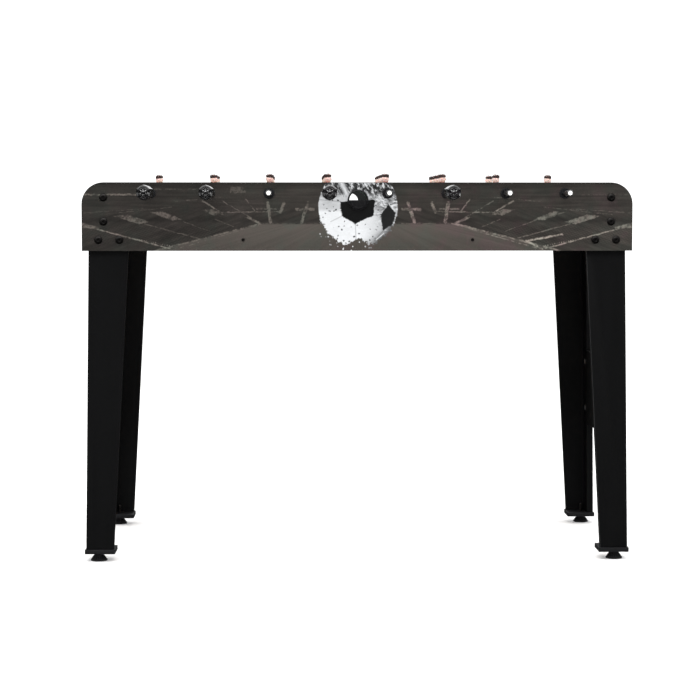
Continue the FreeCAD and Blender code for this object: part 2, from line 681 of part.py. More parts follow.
# Levellers: a bell-shaped foot on a threaded stem.
leveller = turned("leveller", [
    ("0", "0"),
    ("foot_dia / 2", "0"),
    ("foot_dia / 2", "foot_edge"),
    ("foot_neck / 2", "foot_bell"),
    ("stem_dia / 2", "foot_bell"),
    ("stem_dia / 2", f"{cap_top} + stem_above"),
    ("0", f"{cap_top} + stem_above"),
])
for end, side in (("front", "-"), ("rear", "")):
    for name, mark in (("left", "-"), ("right", "")):
        label = f"{end}_{name}_leveller"
        nodes.append(group(label, [copy(leveller, f"{label}_copy", f"{mark}{foot_x}", f"{side}{foot_y}")]))

# The tube of a rod, drawn with its handle end down its own Z axis and its free end up.
tube = ring("tube", "rod_dia / 2 - rod_wall", "rod_dia / 2", f"-({panel_outer} + handle_gap + handle_grip)",
            f"{panel_outer} + free_end")
plug = turned("plug", [
    ("0", "-plug_stem"),
    ("rod_dia / 2 - rod_wall - seat_gap", "-plug_stem"),
    ("rod_dia / 2 - rod_wall - seat_gap", "0"),
    ("rod_dia / 2", "0"),
    ("rod_dia / 2", "plug_head"),
    ("0", "plug_head"),
])
handle = turned("handle", [
    ("rod_dia / 2 + seat_gap", "0"),
    ("handle_dia / 2 - handle_edge", "0"),
    ("handle_dia / 2", "handle_edge"),
    ("handle_dia / 2", "handle_length - handle_edge"),
    ("handle_dia / 2 - handle_edge", "handle_length"),
    ("0", "handle_length"),
    ("0", "handle_grip"),
    ("rod_dia / 2 + seat_gap", "handle_grip"),
])
stop = ring("stop", "rod_dia / 2 + run_gap", "stop_dia / 2", "0", "stop_length")

# A man, with the rod axis through his chest along Y, facing +X.
bore = "(rod_dia + 2 * seat_gap)"
chest_half = f"({bore} + shoulder_depth) / 2"
waist_half = f"({bore} + waist_depth) / 2"
man_chest = block("man_chest", "-waist_down", "shoulder_up",
                  (f"-{waist_half}", waist_half, "-waist_width / 2", "waist_width / 2"),
                  (f"-{chest_half}", chest_half, "-shoulder_width / 2", "shoulder_width / 2"))
man_legs = block("man_legs", "-(man_down - foot_height)", "-waist_down",
                 ("-shin_depth / 2", "shin_depth / 2", "-shin_width / 2", "shin_width / 2"),
                 (f"-{waist_half}", waist_half, "-waist_width / 2", "waist_width / 2"))
man_foot = block("man_foot", "-man_down", "-(man_down - foot_height)",
                 ("-heel_reach", "toe_reach", "-foot_width / 2", "foot_width / 2"),
                 ("-shin_depth / 2", "shin_depth / 2", "-shin_width / 2", "shin_width / 2"))
man_neck = rod("man_neck", "neck_dia", "man_up - head_dia / 2 - shoulder_up", "0", "0", "shoulder_up", upright)
man_head = doc.addObject("Part::Sphere", "man_head")
bind(man_head, Radius="head_dia / 2")
place(man_head, z="man_up - head_dia / 2")
man_bore = rod("man_bore", bore, "shoulder_width + 2", "0", "-(shoulder_width / 2 + 1)", "0",
               towards_rear)
man = cut("man", fuse("man_body", [man_chest, man_legs, man_foot, man_neck, man_head]), [man_bore])


outer_man = f"({stop_face} - travel_five - stop_length - stop_play - shoulder_width / 2)"
line_ups = {
    1: ["0"],
    2: ["-pair_spacing / 2", "pair_spacing / 2"],
    3: ["-trio_spacing", "0", "trio_spacing"],
    5: [f"{share} * {outer_man}" for share in (-1, -0.5, 0, 0.5, 1)],
}

# Rods from left to right: men on each, and the side of its handle. The near player has the
# four rods with a front handle, and their men face +X.
rods = [(1, "front"), (2, "front"), (3, "rear"), (5, "front"), (5, "rear"), (3, "front"), (2, "rear"), (1, "rear")]
for index, (men, side) in enumerate(rods, start=1):
    across = rod_places[index - 1]
    travel = "travel_five" if men == 5 else "travel_wide"
    near = side == "front"
    out = "" if near else "-"
    along = towards_rear if near else towards_front
    back = towards_front if near else towards_rear
    label = f"rod_{index}"
    nodes.append(group(label, [
        copy(tube, f"{label}_tube", across, "0", rod_axis, along),
        copy(plug, f"{label}_plug", across, f"{out}({panel_outer} + free_end)", rod_axis, along),
    ]))
    nodes.append(group(f"{label}_players", [
        copy(man, f"{label}_man_{number_on_rod}", across, y, rod_axis, upright if near else half_turn)
        for number_on_rod, y in enumerate(line_ups[men], start=1)
    ]))
    handle_y = f"-{out}({panel_outer} + handle_gap)" if near else f"({panel_outer} + handle_gap)"
    nodes.append(group(f"{label}_handle", [
        copy(handle, f"{label}_grip", across, handle_y, rod_axis, back),
    ]))
    nodes.append(group(f"{label}_stops", [
        copy(stop, f"{label}_front_stop", across, f"-({stop_face} - {travel})", rod_axis, towards_rear),
        copy(stop, f"{label}_rear_stop", across, f"({stop_face} - {travel})", rod_axis, towards_front),
    ]))

doc.recompute()
for item in doc.Objects:
    if "Invalid" in item.State or "Error" in item.State:
        raise RuntimeError(f"{item.Name} failed: {item.State}")
for node in nodes:
    if node.Shape.isNull() or not node.Shape.isValid() or not node.Shape.Solids:
        raise RuntimeError(f"{node.Label} has no valid solid")
os.makedirs("parts", exist_ok=True)
for node in nodes:
    node.Shape.exportStep(f"parts/{node.Label}.step")
    box_of = node.Shape.BoundBox
    print(f"{node.Label}: {len(node.Shape.Solids)} solids, {node.Shape.Volume:.0f} mm3, "
          f"x {box_of.XMin:.1f}..{box_of.XMax:.1f} y {box_of.YMin:.1f}..{box_of.YMax:.1f} "
          f"z {box_of.ZMin:.1f}..{box_of.ZMax:.1f}")
print(f"{len(nodes)} nodes")
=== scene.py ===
import bmesh
import bpy
import json
from math import pi, radians
from mathutils import Matrix, Vector


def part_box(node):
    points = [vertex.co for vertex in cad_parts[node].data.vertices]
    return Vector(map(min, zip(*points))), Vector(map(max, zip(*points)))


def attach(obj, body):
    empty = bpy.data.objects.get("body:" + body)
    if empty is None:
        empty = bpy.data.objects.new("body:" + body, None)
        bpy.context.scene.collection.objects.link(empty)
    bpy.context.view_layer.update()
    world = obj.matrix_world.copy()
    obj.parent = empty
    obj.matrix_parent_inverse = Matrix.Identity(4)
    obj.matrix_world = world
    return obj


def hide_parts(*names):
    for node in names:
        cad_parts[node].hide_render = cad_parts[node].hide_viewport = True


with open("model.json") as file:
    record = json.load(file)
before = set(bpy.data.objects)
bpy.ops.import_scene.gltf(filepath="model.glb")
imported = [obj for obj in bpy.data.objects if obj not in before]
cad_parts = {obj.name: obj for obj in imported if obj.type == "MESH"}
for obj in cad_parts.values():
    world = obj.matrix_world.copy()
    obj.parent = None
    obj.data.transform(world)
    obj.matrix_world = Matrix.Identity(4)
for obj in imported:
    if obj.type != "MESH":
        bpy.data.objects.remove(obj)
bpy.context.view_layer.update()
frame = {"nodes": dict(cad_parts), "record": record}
scene = bpy.context.scene
bodies = frame["record"]["behaviour"]["bodies"]
bodyOfNode = {node: body for body, nodes in bodies.items() for node in nodes}
millimetre = 0.001
panelFace = 0.305  # from the middle of the table to the outer face of a side panel
print("frame loaded:", len(frame["nodes"]), "nodes")


# shader maths
class Signal:
    # a value in a node tree: an expression on it adds Math nodes
    def __init__(self, finish, socket):
        self.finish, self.socket = finish, socket

    def math(self, operation, *values, clamp=False):
        return self.finish.add("ShaderNodeMath", {"operation": operation, "use_clamp": clamp},
                               dict(enumerate(values)))

    def __add__(self, other): return self.math("ADD", self, other)
    def __radd__(self, other): return self.math("ADD", other, self)
    def __sub__(self, other): return self.math("SUBTRACT", self, other)
    def __rsub__(self, other): return self.math("SUBTRACT", other, self)
    def __mul__(self, other): return self.math("MULTIPLY", self, other)
    def __rmul__(self, other): return self.math("MULTIPLY", other, self)
    def __truediv__(self, other): return self.math("DIVIDE", self, other)
    def __neg__(self): return self.math("MULTIPLY", self, -1)
    def __abs__(self): return self.math("ABSOLUTE", self)

    def above(self, level): return self.math("GREATER_THAN", self, level)
    def most(self, other): return self.math("MAXIMUM", self, other)
    def least(self, other): return self.math("MINIMUM", self, other)
    def held(self): return self.math("MULTIPLY", self, 1, clamp=True)
    def wave(self): return self.math("SINE", self)

    def line(self, width, soft):
        # a distance turned into a line: 1 on it, 0 off it
        return self.math("MULTIPLY_ADD", self, -0.5 / soft, (width / 2 + soft) * 0.5 / soft, clamp=True)

    def rise(self, low, high):
        # 0 below low, 1 above high, smooth between
        return self.finish.add("ShaderNodeMapRange", {"interpolation_type": "SMOOTHSTEP"},
                               {"Value": self, "From Min": low, "From Max": high})


class Finish:
    # one material and the nodes that make it
    def __init__(self, name, world=None):
        self.material = world or bpy.data.materials.new(name)
        self.material.use_nodes = True
        self.tree = self.material.node_tree
        self.tree.nodes.clear()

    def add(self, kind, settings=None, values=None, output=0):
        node = self.tree.nodes.new(kind)
        for key, value in (settings or {}).items():
            if key == "stops":
                ramp = node.color_ramp
                while len(ramp.elements) < len(value):
                    ramp.elements.new(0.5)
                for element, (position, color) in zip(ramp.elements, value):
                    element.position, element.color = position, (*color, 1)
            else:
                setattr(node, key, value)
        for key, value in (values or {}).items():
            socket = node.inputs[key]
            if isinstance(value, Signal):
                self.tree.links.new(value.socket, socket)
            elif socket.type == "RGBA" and len(value) == 3:
                socket.default_value = (*value, 1)
            else:
                socket.default_value = value
        return Signal(self, node.outputs[output]) if node.outputs else node

    def place(self):
        return self.add("ShaderNodeTexCoord", output=3)

    def split(self, vector):
        node = self.tree.nodes.new("ShaderNodeSeparateXYZ")
        self.tree.links.new(vector.socket, node.inputs[0])
        return [Signal(self, socket) for socket in node.outputs]

    def join(self, x, y, z):
        return self.add("ShaderNodeCombineXYZ", {}, {0: x, 1: y, 2: z})

    def vector(self, operation, *values):
        plain = operation in ("DOT_PRODUCT", "LENGTH")
        return self.add("ShaderNodeVectorMath", {"operation": operation}, dict(enumerate(values)), 1 if plain else 0)

    def stretched(self, sizes, vector=None):
        return self.add("ShaderNodeMapping", {}, {0: vector or self.place(), 3: sizes})

    def noise(self, scale, detail=3, rough=0.5, vector=None, twist=0):
        return self.add("ShaderNodeTexNoise", {}, {"Vector": vector or self.place(), "Scale": scale, "Detail": detail,
                                                    "Roughness": rough, "Distortion": twist})

    def cells(self, scale, vector=None, output=0):
        return self.add("ShaderNodeTexVoronoi", {"feature": "F1"},
                        {"Vector": vector or self.place(), "Scale": scale}, output)

    def blend(self, share, first, second, way="MIX"):
        return self.add("ShaderNodeMix", {"data_type": "RGBA", "blend_type": way}, {0: share, 6: first, 7: second}, 2)

    def tint(self, tone, color):
        # a grey value turned into a colour
        return self.add("ShaderNodeCombineColor", {}, {0: tone * color[0], 1: tone * color[1], 2: tone * color[2]})

    def bump(self, height, strength, distance, under=None):
        values = {"Strength": strength, "Distance": distance, "Height": height}
        if under:
            values["Normal"] = under
        return self.add("ShaderNodeBump", {}, values)

    def stroke(self, point, start, end, width, soft=0.8):
        # 1 on a straight line from start to end, 0 off it
        run = Vector((*end, 0)) - Vector((*start, 0))
        away = self.vector("SUBTRACT", point, (*start, 0))
        along = self.vector("DOT_PRODUCT", away, run / run.length_squared).held()
        nearest = self.add("ShaderNodeVectorMath", {"operation": "SCALE"}, {0: run, "Scale": along})
        off = self.vector("LENGTH", self.vector("SUBTRACT", away, nearest))
        return off.line(width, soft)

    def patch(self, point, corners, soft=0.8):
        # 1 inside a convex outline, 0 outside
        middle = sum((Vector((*c, 0)) for c in corners), Vector()) / len(corners)
        outside = None
        for first, second in zip(corners, corners[1:] + corners[:1]):
            first, second = Vector((*first, 0)), Vector((*second, 0))
            across = (second - first).cross(Vector((0, 0, 1))).normalized()
            if across.dot(first - middle) < 0:
                across = -across
            side = self.vector("DOT_PRODUCT", point, across) - across.dot(first)
            outside = side if outside is None else outside.most(side)
        return outside.math("MULTIPLY_ADD", outside, -0.5 / soft, 0.5, clamp=True)

    def distance(self, point, centre):
        return self.vector("LENGTH", self.vector("SUBTRACT", point, (*centre, 0)))

    def ring(self, point, centre, radius, width, soft=0.8):
        off = abs(self.distance(point, centre) - radius)
        return off.line(width, soft)

    def surface(self, color, rough, normal=None, gloss=0.5, **fixed):
        values = {"Base Color": color, "Roughness": rough, "Specular IOR Level": gloss}
        if normal:
            values["Normal"] = normal
        values.update({key.replace("_", " "): value for key, value in fixed.items()})
        shader = self.add("ShaderNodeBsdfPrincipled", {}, values)
        self.add("ShaderNodeOutputMaterial", {}, {"Surface": shader})
        return self.material


# the printed side boards
stadium = {
    "dark": 0.0235, "field": 0.052, "lines": 0.86, "white": 0.60,  # grey levels
    "warm": (1.12, 0.97, 0.83), "green": (0.98, 1.02, 0.85), "red": (1.27, 0.92, 0.88), "leather": (0.98, 1.0, 1.02),
    "fieldTop": 59, "fieldSide": 445, "fieldSlope": 0.255,  # outline of the pitch, and how its sides rise
    "brush": 5, "cellBrush": 9,  # how far an outline wanders
    "leftDarker": 0.24, "rightLighter": 0.25, "leftMarks": 0.62, "rightMarks": 0.3,
    "strokes": [  # from, to, width, level: millimetres from the middle and above the lower edge
        ((445, 0), (214, 59), 4.2, 0.15), ((413, 0), (206, 60), 3.4, 0.13), ((214, 60), (0, 60), 2.2, 0.10),
        ((325, 84), (170, 86), 2.0, 0.16), ((341, 109), (297, 83), 3.2, 0.17), ((297, 109), (214, 60), 2.4, 0.13),
        ((246, 113), (226, 87), 2.6, 0.13), ((198, 105), (192, 63), 7.5, 0.15), ((162, 105), (170, 85), 7.0, 0.14),
        ((110, 105), (124, 63), 7.5, 0.15), ((136, 91), (98, 91), 7.0, 0.14), ((222, 92), (180, 92), 4.0, 0.11),
        ((576, 49), (413, 5), 2.6, 0.22), ((467, 59), (349, 27), 2.2, 0.12), ((397, 69), (325, 43), 2.0, 0.10),
        ((313, 69), (273, 53), 2.0, 0.10), ((598, 123), (485, 123), 4.0, 0.15), ((468, 135), (349, 135), 2.4, 0.09),
        ((560, 79), (408, 96), 2.0, 0.085), ((400, 108), (300, 118), 3.0, 0.075), ((600, 83), (470, 92), 2.6, 0.07)],
    "rightStrokes": [((374, 22), (450, 36), 4.2, 0.24), ((371, 22), (407, 3), 4.4, 0.22),
                     ((282, 38), (306, 30), 3.4, 0.15)],
    "dotted": [((521, 33), (413, 11), 2.6, 0.17), ((560, 44), (500, 28), 2.0, 0.13)],
    "patches": [  # corners, level
        ([(534, 76), (504, 80), (455, 63), (480, 58)], 0.125), ([(455, 84), (430, 87), (385, 69), (408, 66)], 0.115),
        ([(345, 90), (318, 92), (292, 79), (318, 77)], 0.105), ([(606, 62), (566, 52), (566, 47), (606, 51)], 0.14),
        ([(281, 126), (281, 142), (245, 140), (245, 126)], 0.085),
        ([(250, 74), (238, 74), (208, 60), (216, 58)], 0.16)],
    "ballCentre": (0, 96), "ballRadius": 87,
    "blackCells": [([(-40, 108), (-36, 76), (-6, 60), (34, 78), (38, 112)], 0.004),
                   ([(67, 101), (82, 84), (77, 58), (55, 44), (49, 80)], 0.010)],
    "seams": [((-6, 60), (-4, 14)), ((-36, 76), (-60, 64)), ((34, 78), (50, 79)), ((55, 44), (36, 22)),
              ((-40, 108), (-84, 112)), ((77, 58), (84, 50)), ((67, 101), (58, 128))],
    "glints": [((36, 90), (50, 82)), ((66, 104), (86, 86)), ((86, 86), (79, 50)), ((58, 122), (66, 104)),
               ((40, 24), (56, 38))]}


def brushed(finish, along, up, rough, brush):
    # a point shaken a little, so that marks look brushed and not ruled
    return finish.join(along + rough[0] * brush, up + rough[1] * brush, 0)


# in these, s runs along the board, u is its distance from the middle and v is the height, in millimetres
def paintStands(finish, s, u, v, cloud, fine):
    # stands and roof, with rows of seats
    rows = ((u * 0.22 + v * 0.95) * 1.15).wave() * ((u * 0.9 - v * 0.3) * 0.8).wave()
    seats = v.rise(8, 20) * (1 - v.rise(50, 62)) * u.rise(230, 330)
    tiers = finish.noise(1, 3, 0.65, finish.join((u * 0.36 + v * 0.93) * 0.16, (u * 0.93 - v * 0.36) * 0.007, 4))
    roof = finish.noise(1, 3, 0.65, finish.join(v * 0.17, u * 0.006, 8))
    tone = stadium["dark"] * (0.55 + cloud * 0.8) * (0.8 + fine * 0.42) * (1 + rows * seats * 0.22)
    tone = tone * (0.35 + 1.3 * tiers + (roof - tiers) * 1.3 * v.rise(84, 100))
    tone = tone * (1 - stadium["leftDarker"] * (-s).rise(250, 340))
    tone = tone * (1 + stadium["rightLighter"] * s.rise(470, 560) * (1 - v.rise(40, 80)))
    return tone * (1 - 0.35 * v.rise(128, 150)) * (1 - 0.22 * v.rise(60, 66) * (1 - v.rise(66, 84)))


def paintPitch(finish, tone, s, u, v, fine):
    # the pitch in the middle, streaked towards the goal
    inside = (stadium["fieldTop"] - v).least((stadium["fieldSide"] - u) * stadium["fieldSlope"] - v)
    field = inside.math("MULTIPLY", inside, 0.9, clamp=True)
    streak = finish.noise(0.05, 4, 0.6, finish.join(s / (1.6 - v / 60) * 1.6, v * 0.25, 5))
    grass = stadium["field"] * (0.72 + streak * 0.5) * (0.9 + fine * 0.2) * (0.82 + 0.25 * v.rise(0, 60))
    return tone + (grass - tone) * field


def paintMarks(finish, tone, point, s, u, v, rough, fine):
    # light strokes and patches in the stands
    light = None
    for start, end, width, level in stadium["strokes"]:
        mark = finish.stroke(point, start, end, width, 1.3) * level
        light = mark if light is None else light.most(mark)
    dots = (u * 1.25).wave().rise(-0.2, 0.5)
    for start, end, width, level in stadium["dotted"]:
        light = light.most(finish.stroke(point, start, end, width, 1) * dots * level)
    for corners, level in stadium["patches"]:
        light = light.most(finish.patch(point, corners, 1.6) * level)
    right = s.above(0)
    light = light * (stadium["leftMarks"] + stadium["rightMarks"] * right) * (1 - 0.7 * right * v.above(118))
    rightPoint = brushed(finish, s, v, rough, stadium["brush"])
    for start, end, width, level in stadium["rightStrokes"]:
        light = light.most(finish.stroke(rightPoint, start, end, width, 1.3) * level)
    broken = finish.noise(0.11, 4, 0.7, finish.join(s, v, 31))
    return tone.most(light * stadium["lines"] * (0.45 + fine * 0.75) * (0.42 + 0.85 * broken.rise(0.36, 0.6)))


def ballShape(finish, ballPoint, s, v):
    # where the football is: it is torn along its lower left side
    ragged = (finish.noise(0.10, 6, 0.72, ballPoint) - 0.5) * 2
    away = finish.distance(ballPoint, stadium["ballCentre"])
    ball = (stadium["ballRadius"] - away + ragged * (3 + 16 * (1 - v.rise(30, 90)))).rise(-1, 1.2)
    flakes = finish.cells(0.16, finish.join(s + ragged * 16, v, 0))
    torn = ragged * 16 + (flakes - 0.4) * 14
    ball = ball * (v - 12 - 17 * (1 - abs(s).rise(4, 34)) + torn).rise(-1, 1)
    ball = ball * (38 + 0.875 * s + 0.485 * v + torn).rise(-1, 1)
    speckle = finish.cells(0.12, ballPoint)
    spots = (1 - speckle.rise(0.16, 0.24)) * (away - 62).rise(0, 10) * (1 - (away - 98).rise(0, 8))
    ball = ball.most(spots * (1 - v.rise(40, 62)) * (1 - s.rise(30, 60)))
    return ball, away, ragged


def ballLeather(finish, ballPoint, s, v, rough, fine, away, ragged):
    # white leather, scraped grey at the top right, with black cells
    smear = finish.noise(0.06, 5, 0.7, finish.join(s * 0.6, v * 1.4, 2), 1.2)
    rim = (away / stadium["ballRadius"]).rise(0.72, 1.05)
    leather = stadium["white"] - 0.34 * rim * s.rise(-30, 50) - 0.16 * smear
    leather = leather - 0.16 * s.rise(-5, 60) * (1 - v.rise(60, 110)) - 0.16 * v.rise(84, 94)
    greyer = (v * 0.62 + s * 0.8 + (smear - 0.5) * 60).rise(62, 104)
    scratch = finish.noise(0.16, 5, 0.75, finish.join(s * 0.8 + v * 0.5, v * 0.35 - s * 0.2, 6))
    grey = 0.06 + 0.50 * smear.rise(0.36, 0.6) * (0.35 + 0.65 * scratch.rise(0.4, 0.58))
    leather = leather + (grey - leather) * greyer
    scraped = 0.018 + 0.46 * scratch.rise(0.48, 0.62)
    leather = leather + (scraped - leather) * (v + (smear - 0.5) * 22).rise(114, 130)
    leather = leather.most(finish.stroke(ballPoint, (-37, 150), (-19, 114), 9, 4) * 0.42 * (0.5 + scratch))
    pits = finish.cells(0.10, finish.join(s + ragged * 7, v, 3)) + 0.5 * smear.rise(0.5, 0.62)
    leather = leather * (0.12 + 0.88 * pits.rise(0.15, 0.27)) * (0.86 + 0.28 * fine)
    cellPoint = brushed(finish, s, v, rough, stadium["cellBrush"])
    for start, end in stadium["glints"]:
        leather = leather.most(finish.stroke(cellPoint, start, end, 1.6, 1.2) * (0.2 + 0.8 * scratch))
    for start, end in stadium["seams"]:
        leather = leather * (1 - 0.45 * finish.stroke(ballPoint, start, end, 1.6, 1))
    for corners, level in stadium["blackCells"]:
        cell = finish.patch(cellPoint, corners, 0.9)
        leather = leather + (level * (0.7 + fine * 0.6) - leather) * cell
    return leather


def stadiumPrint(name):
    finish = Finish(name)
    x, y, z = finish.split(finish.place())
    s = x * 1000 * (1 - 2 * y.above(0))  # reads the same way on both boards
    v = (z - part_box("front_side_panel")[0].z) * 1000
    u = abs(s)
    ballPoint = finish.join(s, v, 0)
    rough = [finish.noise(0.13, 3, 0.7, finish.join(s, v, offset)) - 0.5 for offset in (41, 57)]
    point = brushed(finish, u, v, rough, stadium["brush"])
    cloud = finish.noise(0.018, 4, 0.6, finish.join(u, v * 2.2, 3))
    fine = finish.noise(0.34, 3, 0.7, finish.join(s, v, 9))
    tone = paintStands(finish, s, u, v, cloud, fine)
    tone = paintPitch(finish, tone, s, u, v, fine)
    tone = paintMarks(finish, tone, point, s, u, v, rough, fine)
    ball, away, ragged = ballShape(finish, ballPoint, s, v)
    leather = ballLeather(finish, ballPoint, s, v, rough, fine, away, ragged)

    # the ink on the outer face, and plain foil elsewhere
    paper = finish.tint(tone, stadium["warm"])
    mottle = finish.noise(0.022, 3, 0.55, finish.join(s, v, 20))
    paper = finish.blend(mottle.rise(0.50, 0.62) * 0.6, paper, finish.tint(tone, stadium["green"]))
    reddish = (1 - mottle.rise(0.36, 0.46)) * (0.25 + 0.5 * s.rise(-100, 100))
    paper = finish.blend(reddish, paper, finish.tint(tone, stadium["red"]))
    printed = finish.blend(ball, paper, finish.tint(leather, stadium["leather"]))
    outer = (abs(y) - (panelFace - 0.00035)).rise(0, 0.0002)
    plain = finish.tint(0.012 + 0.006 * finish.noise(90, 4, 0.6), (1, 1, 1.04))
    color = finish.blend(outer, plain, printed)
    wear = finish.noise(7, 4, 0.6)
    grain = finish.bump(finish.noise(2600, 2, 0.6), 0.05, 0.0004)
    return finish.surface(color, 0.36 + 0.14 * wear, grain, gloss=0.2)


# the other boards
def foilBoard(name, tone, spread, shine, grainSize, color=(1, 1, 1.05), gloss=0.3):
    # board wrapped in a thin embossed foil
    finish = Finish(name)
    long = finish.noise(grainSize, 5, 0.65, finish.stretched((1, 1, 0.06)))
    handled = finish.noise(5, 4, 0.6)
    body = tone * (1 - spread / 2) + tone * spread * (0.6 * long + 0.4 * handled)
    pores = finish.noise(1400, 3, 0.7, finish.stretched((1, 1, 0.25)))
    normal = finish.bump(pores, 0.12, 0.0003, finish.bump(long, 0.06, 0.0006))
    return finish.surface(finish.tint(body, color), shine - 0.08 + 0.18 * handled + 0.05 * pores, normal, gloss=gloss)


def edgeStrip(name):
    # the dark plastic strip round a side panel, rubbed grey in places
    finish = Finish(name)
    rub = finish.noise(34, 4, 0.7, finish.stretched((0.3, 1, 1)))
    color = finish.blend(rub.rise(0.58, 0.8) * 0.5, (0.011, 0.013, 0.012), (0.035, 0.037, 0.036))
    return finish.surface(color, 0.34 + 0.2 * rub, finish.bump(finish.noise(900, 2, 0.5), 0.06, 0.0003), gloss=0.35)


def chipBoard(name):
    # bare particle board: pressed chips, darker dust between them
    finish = Finish(name)
    chips = finish.cells(170, finish.stretched((1, 0.35, 1)), output=1)
    depth = finish.cells(170, finish.stretched((1, 0.35, 1)))
    shade = finish.add("ShaderNodeSeparateColor", {}, {0: chips})
    stops = [(0.0, (0.20, 0.115, 0.055)), (0.45, (0.36, 0.235, 0.125)), (0.8, (0.47, 0.33, 0.19)),
             (1.0, (0.25, 0.15, 0.08))]
    color = finish.add("ShaderNodeValToRGB", {"stops": stops}, {0: shade})
    color = finish.blend(depth.rise(0.45, 0.75) * 0.6, color, (0.13, 0.075, 0.04))
    return finish.surface(color, 0.72 + 0.15 * shade, finish.bump(depth + 0.3 * finish.noise(900), 0.35, 0.0008),
                          gloss=0.2)


pitch = {"grass": (0.020, 0.155, 0.048), "mown": (0.030, 0.200, 0.062), "line": (0.78, 0.82, 0.80), "lineWidth": 4,
         "edge": (528, 268), "circle": 74, "box": (398, 142), "goalArea": (468, 84), "arcCentre": 452, "arc": 74,
         "corner": 26, "kickOff": 6, "spot": 5, "stripe": 36.65}  # millimetres from the middle of the field


def pitchBoard(name):
    # the playfield: green print with white markings under a clear coat, bare board at its edges
    finish = Finish(name)
    x, y, z = finish.split(finish.place())
    u, w = abs(x) * 1000, abs(y) * 1000
    signed = finish.join(u, w, 0)
    blade = finish.noise(420, 3, 0.7, finish.stretched((1, 0.3, 1)))
    mown = (x * 1000 / pitch["stripe"]).wave().rise(-0.12, 0.12)
    color = finish.blend(mown, pitch["grass"], pitch["mown"])
    shade = finish.blend(blade, (0.5, 0.6, 0.5), (1.25, 1.2, 1.15))
    color = finish.blend(0.5 + 0.5 * finish.noise(3, 3), color, shade, "MULTIPLY")

    length, width = pitch["edge"]
    half, soft = pitch["lineWidth"] / 2, pitch["lineWidth"] / 2 + 0.9
    marks = (1 - abs((u - length).most(w - width)).rise(half, soft)).most(1 - u.rise(half, soft))
    inside = 1 - (u - length).most(w - width).rise(0, 1)
    marks = marks.most(finish.ring(signed, (0, 0), pitch["circle"], pitch["lineWidth"]))
    marks = marks.most(1 - finish.vector("LENGTH", signed).rise(pitch["kickOff"], pitch["kickOff"] + 1))
    for deep, wide in (pitch["box"], pitch["goalArea"]):
        side = abs((deep - u).most(w - wide))
        marks = marks.most(1 - side.rise(half, soft))
    arc = finish.ring(signed, (pitch["arcCentre"], 0), pitch["arc"], pitch["lineWidth"])
    arc = arc * (1 - u.rise(pitch["box"][0] - 1, pitch["box"][0]))
    fromSpot = finish.distance(signed, (pitch["arcCentre"], 0))
    spot = 1 - fromSpot.rise(pitch["spot"], pitch["spot"] + 1)
    corner = finish.ring(signed, pitch["edge"], pitch["corner"], pitch["lineWidth"])
    marks = marks.most(arc).most(spot).most(corner) * inside * (0.86 + 0.14 * finish.noise(60, 3, 0.7))
    color = finish.blend(marks, color, pitch["line"])
    bare = 1 - (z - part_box("playfield")[1].z + 0.0006).rise(0, 0.0004)
    color = finish.blend(bare, color, finish.blend(finish.noise(240, 4, 0.7), (0.19, 0.11, 0.06), (0.34, 0.21, 0.12)))
    scuff = finish.noise(11, 5, 0.7)
    return finish.surface(color, 0.3 + 0.22 * scuff + 0.25 * bare, finish.bump(blade, 0.05, 0.0003), gloss=0.4)


# plastics, rubber and metals
def moulded(name, color, rough=0.42, grain=1500, depth=0.0003, strength=0.12, spread=0.3, gloss=0.4):
    # an injection moulded plastic with a fine spark texture and cloudy wear
    finish = Finish(name)
    cloud = finish.noise(26, 4, 0.6)
    spark = finish.noise(grain, 3, 0.7)
    worn = finish.noise(90, 5, 0.75)
    body = finish.blend(cloud * spread * 2, color, tuple(min(1, c * 1.5 + 0.004) for c in color))
    body = finish.blend(worn.rise(0.62, 0.8) * 0.35, body, tuple(min(1, c * 1.3 + 0.02) for c in color))
    return finish.surface(body, rough - 0.07 + 0.16 * cloud + 0.05 * spark, finish.bump(spark, strength, depth),
                          gloss=gloss)


def glossPlastic(name):
    # polished black plastic, a little rubbed where hands hold it
    finish = Finish(name)
    wearAndPaintedHighlight = finish.noise(60, 4, 0.7)
    body = finish.blend(wearAndPaintedHighlight, (0.0022, 0.0022, 0.0026), (0.0052, 0.0050, 0.0054))
    return finish.surface(body, 0.05 + 0.08 * wearAndPaintedHighlight, finish.bump(finish.noise(700, 2, 0.5), 0.02, 0.0002),
                          gloss=0.9, IOR=1.8)


def plated(name, color, rough, streak=(1, 1, 1), spread=0.25, dull=(0.3, 0.29, 0.28)):
    # plated or blackened steel, with fine draw marks and dull spots
    finish = Finish(name)
    draw = finish.noise(700, 3, 0.65, finish.stretched(streak))
    dullSpots = finish.noise(120, 5, 0.75).rise(0.58, 0.75)
    body = finish.blend(draw * spread, color, tuple(c * 0.55 for c in color))
    body = finish.blend(dullSpots * 0.3, body, dull)
    return finish.surface(body, rough + 0.10 * draw + 0.2 * dullSpots, finish.bump(draw, 0.04, 0.0002),
                          Metallic=1.0)


def skinPlastic(name):
    # painted skin, flushed in patches
    finish = Finish(name)
    z = finish.split(finish.place())[2]
    flush = finish.noise(170, 3, 0.6)
    color = finish.blend(flush.rise(0.4, 0.75) * 0.6, (0.84, 0.60, 0.55), (0.78, 0.40, 0.35))
    # painted shade: a darker, redder tone on the neck and on the limbs, for the shade under the head
    neck = 1 - (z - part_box("rod_1_players")[0].z).rise(0.084, 0.092)
    color = finish.blend(neck * 0.75, color, (0.74, 0.22, 0.16))
    return finish.surface(color, 0.38 + 0.12 * finish.noise(300), finish.bump(finish.noise(900), 0.06, 0.0003),
                          Subsurface_Weight=0.15, Subsurface_Radius=(0.004, 0.0015, 0.001), Subsurface_Scale=0.5)


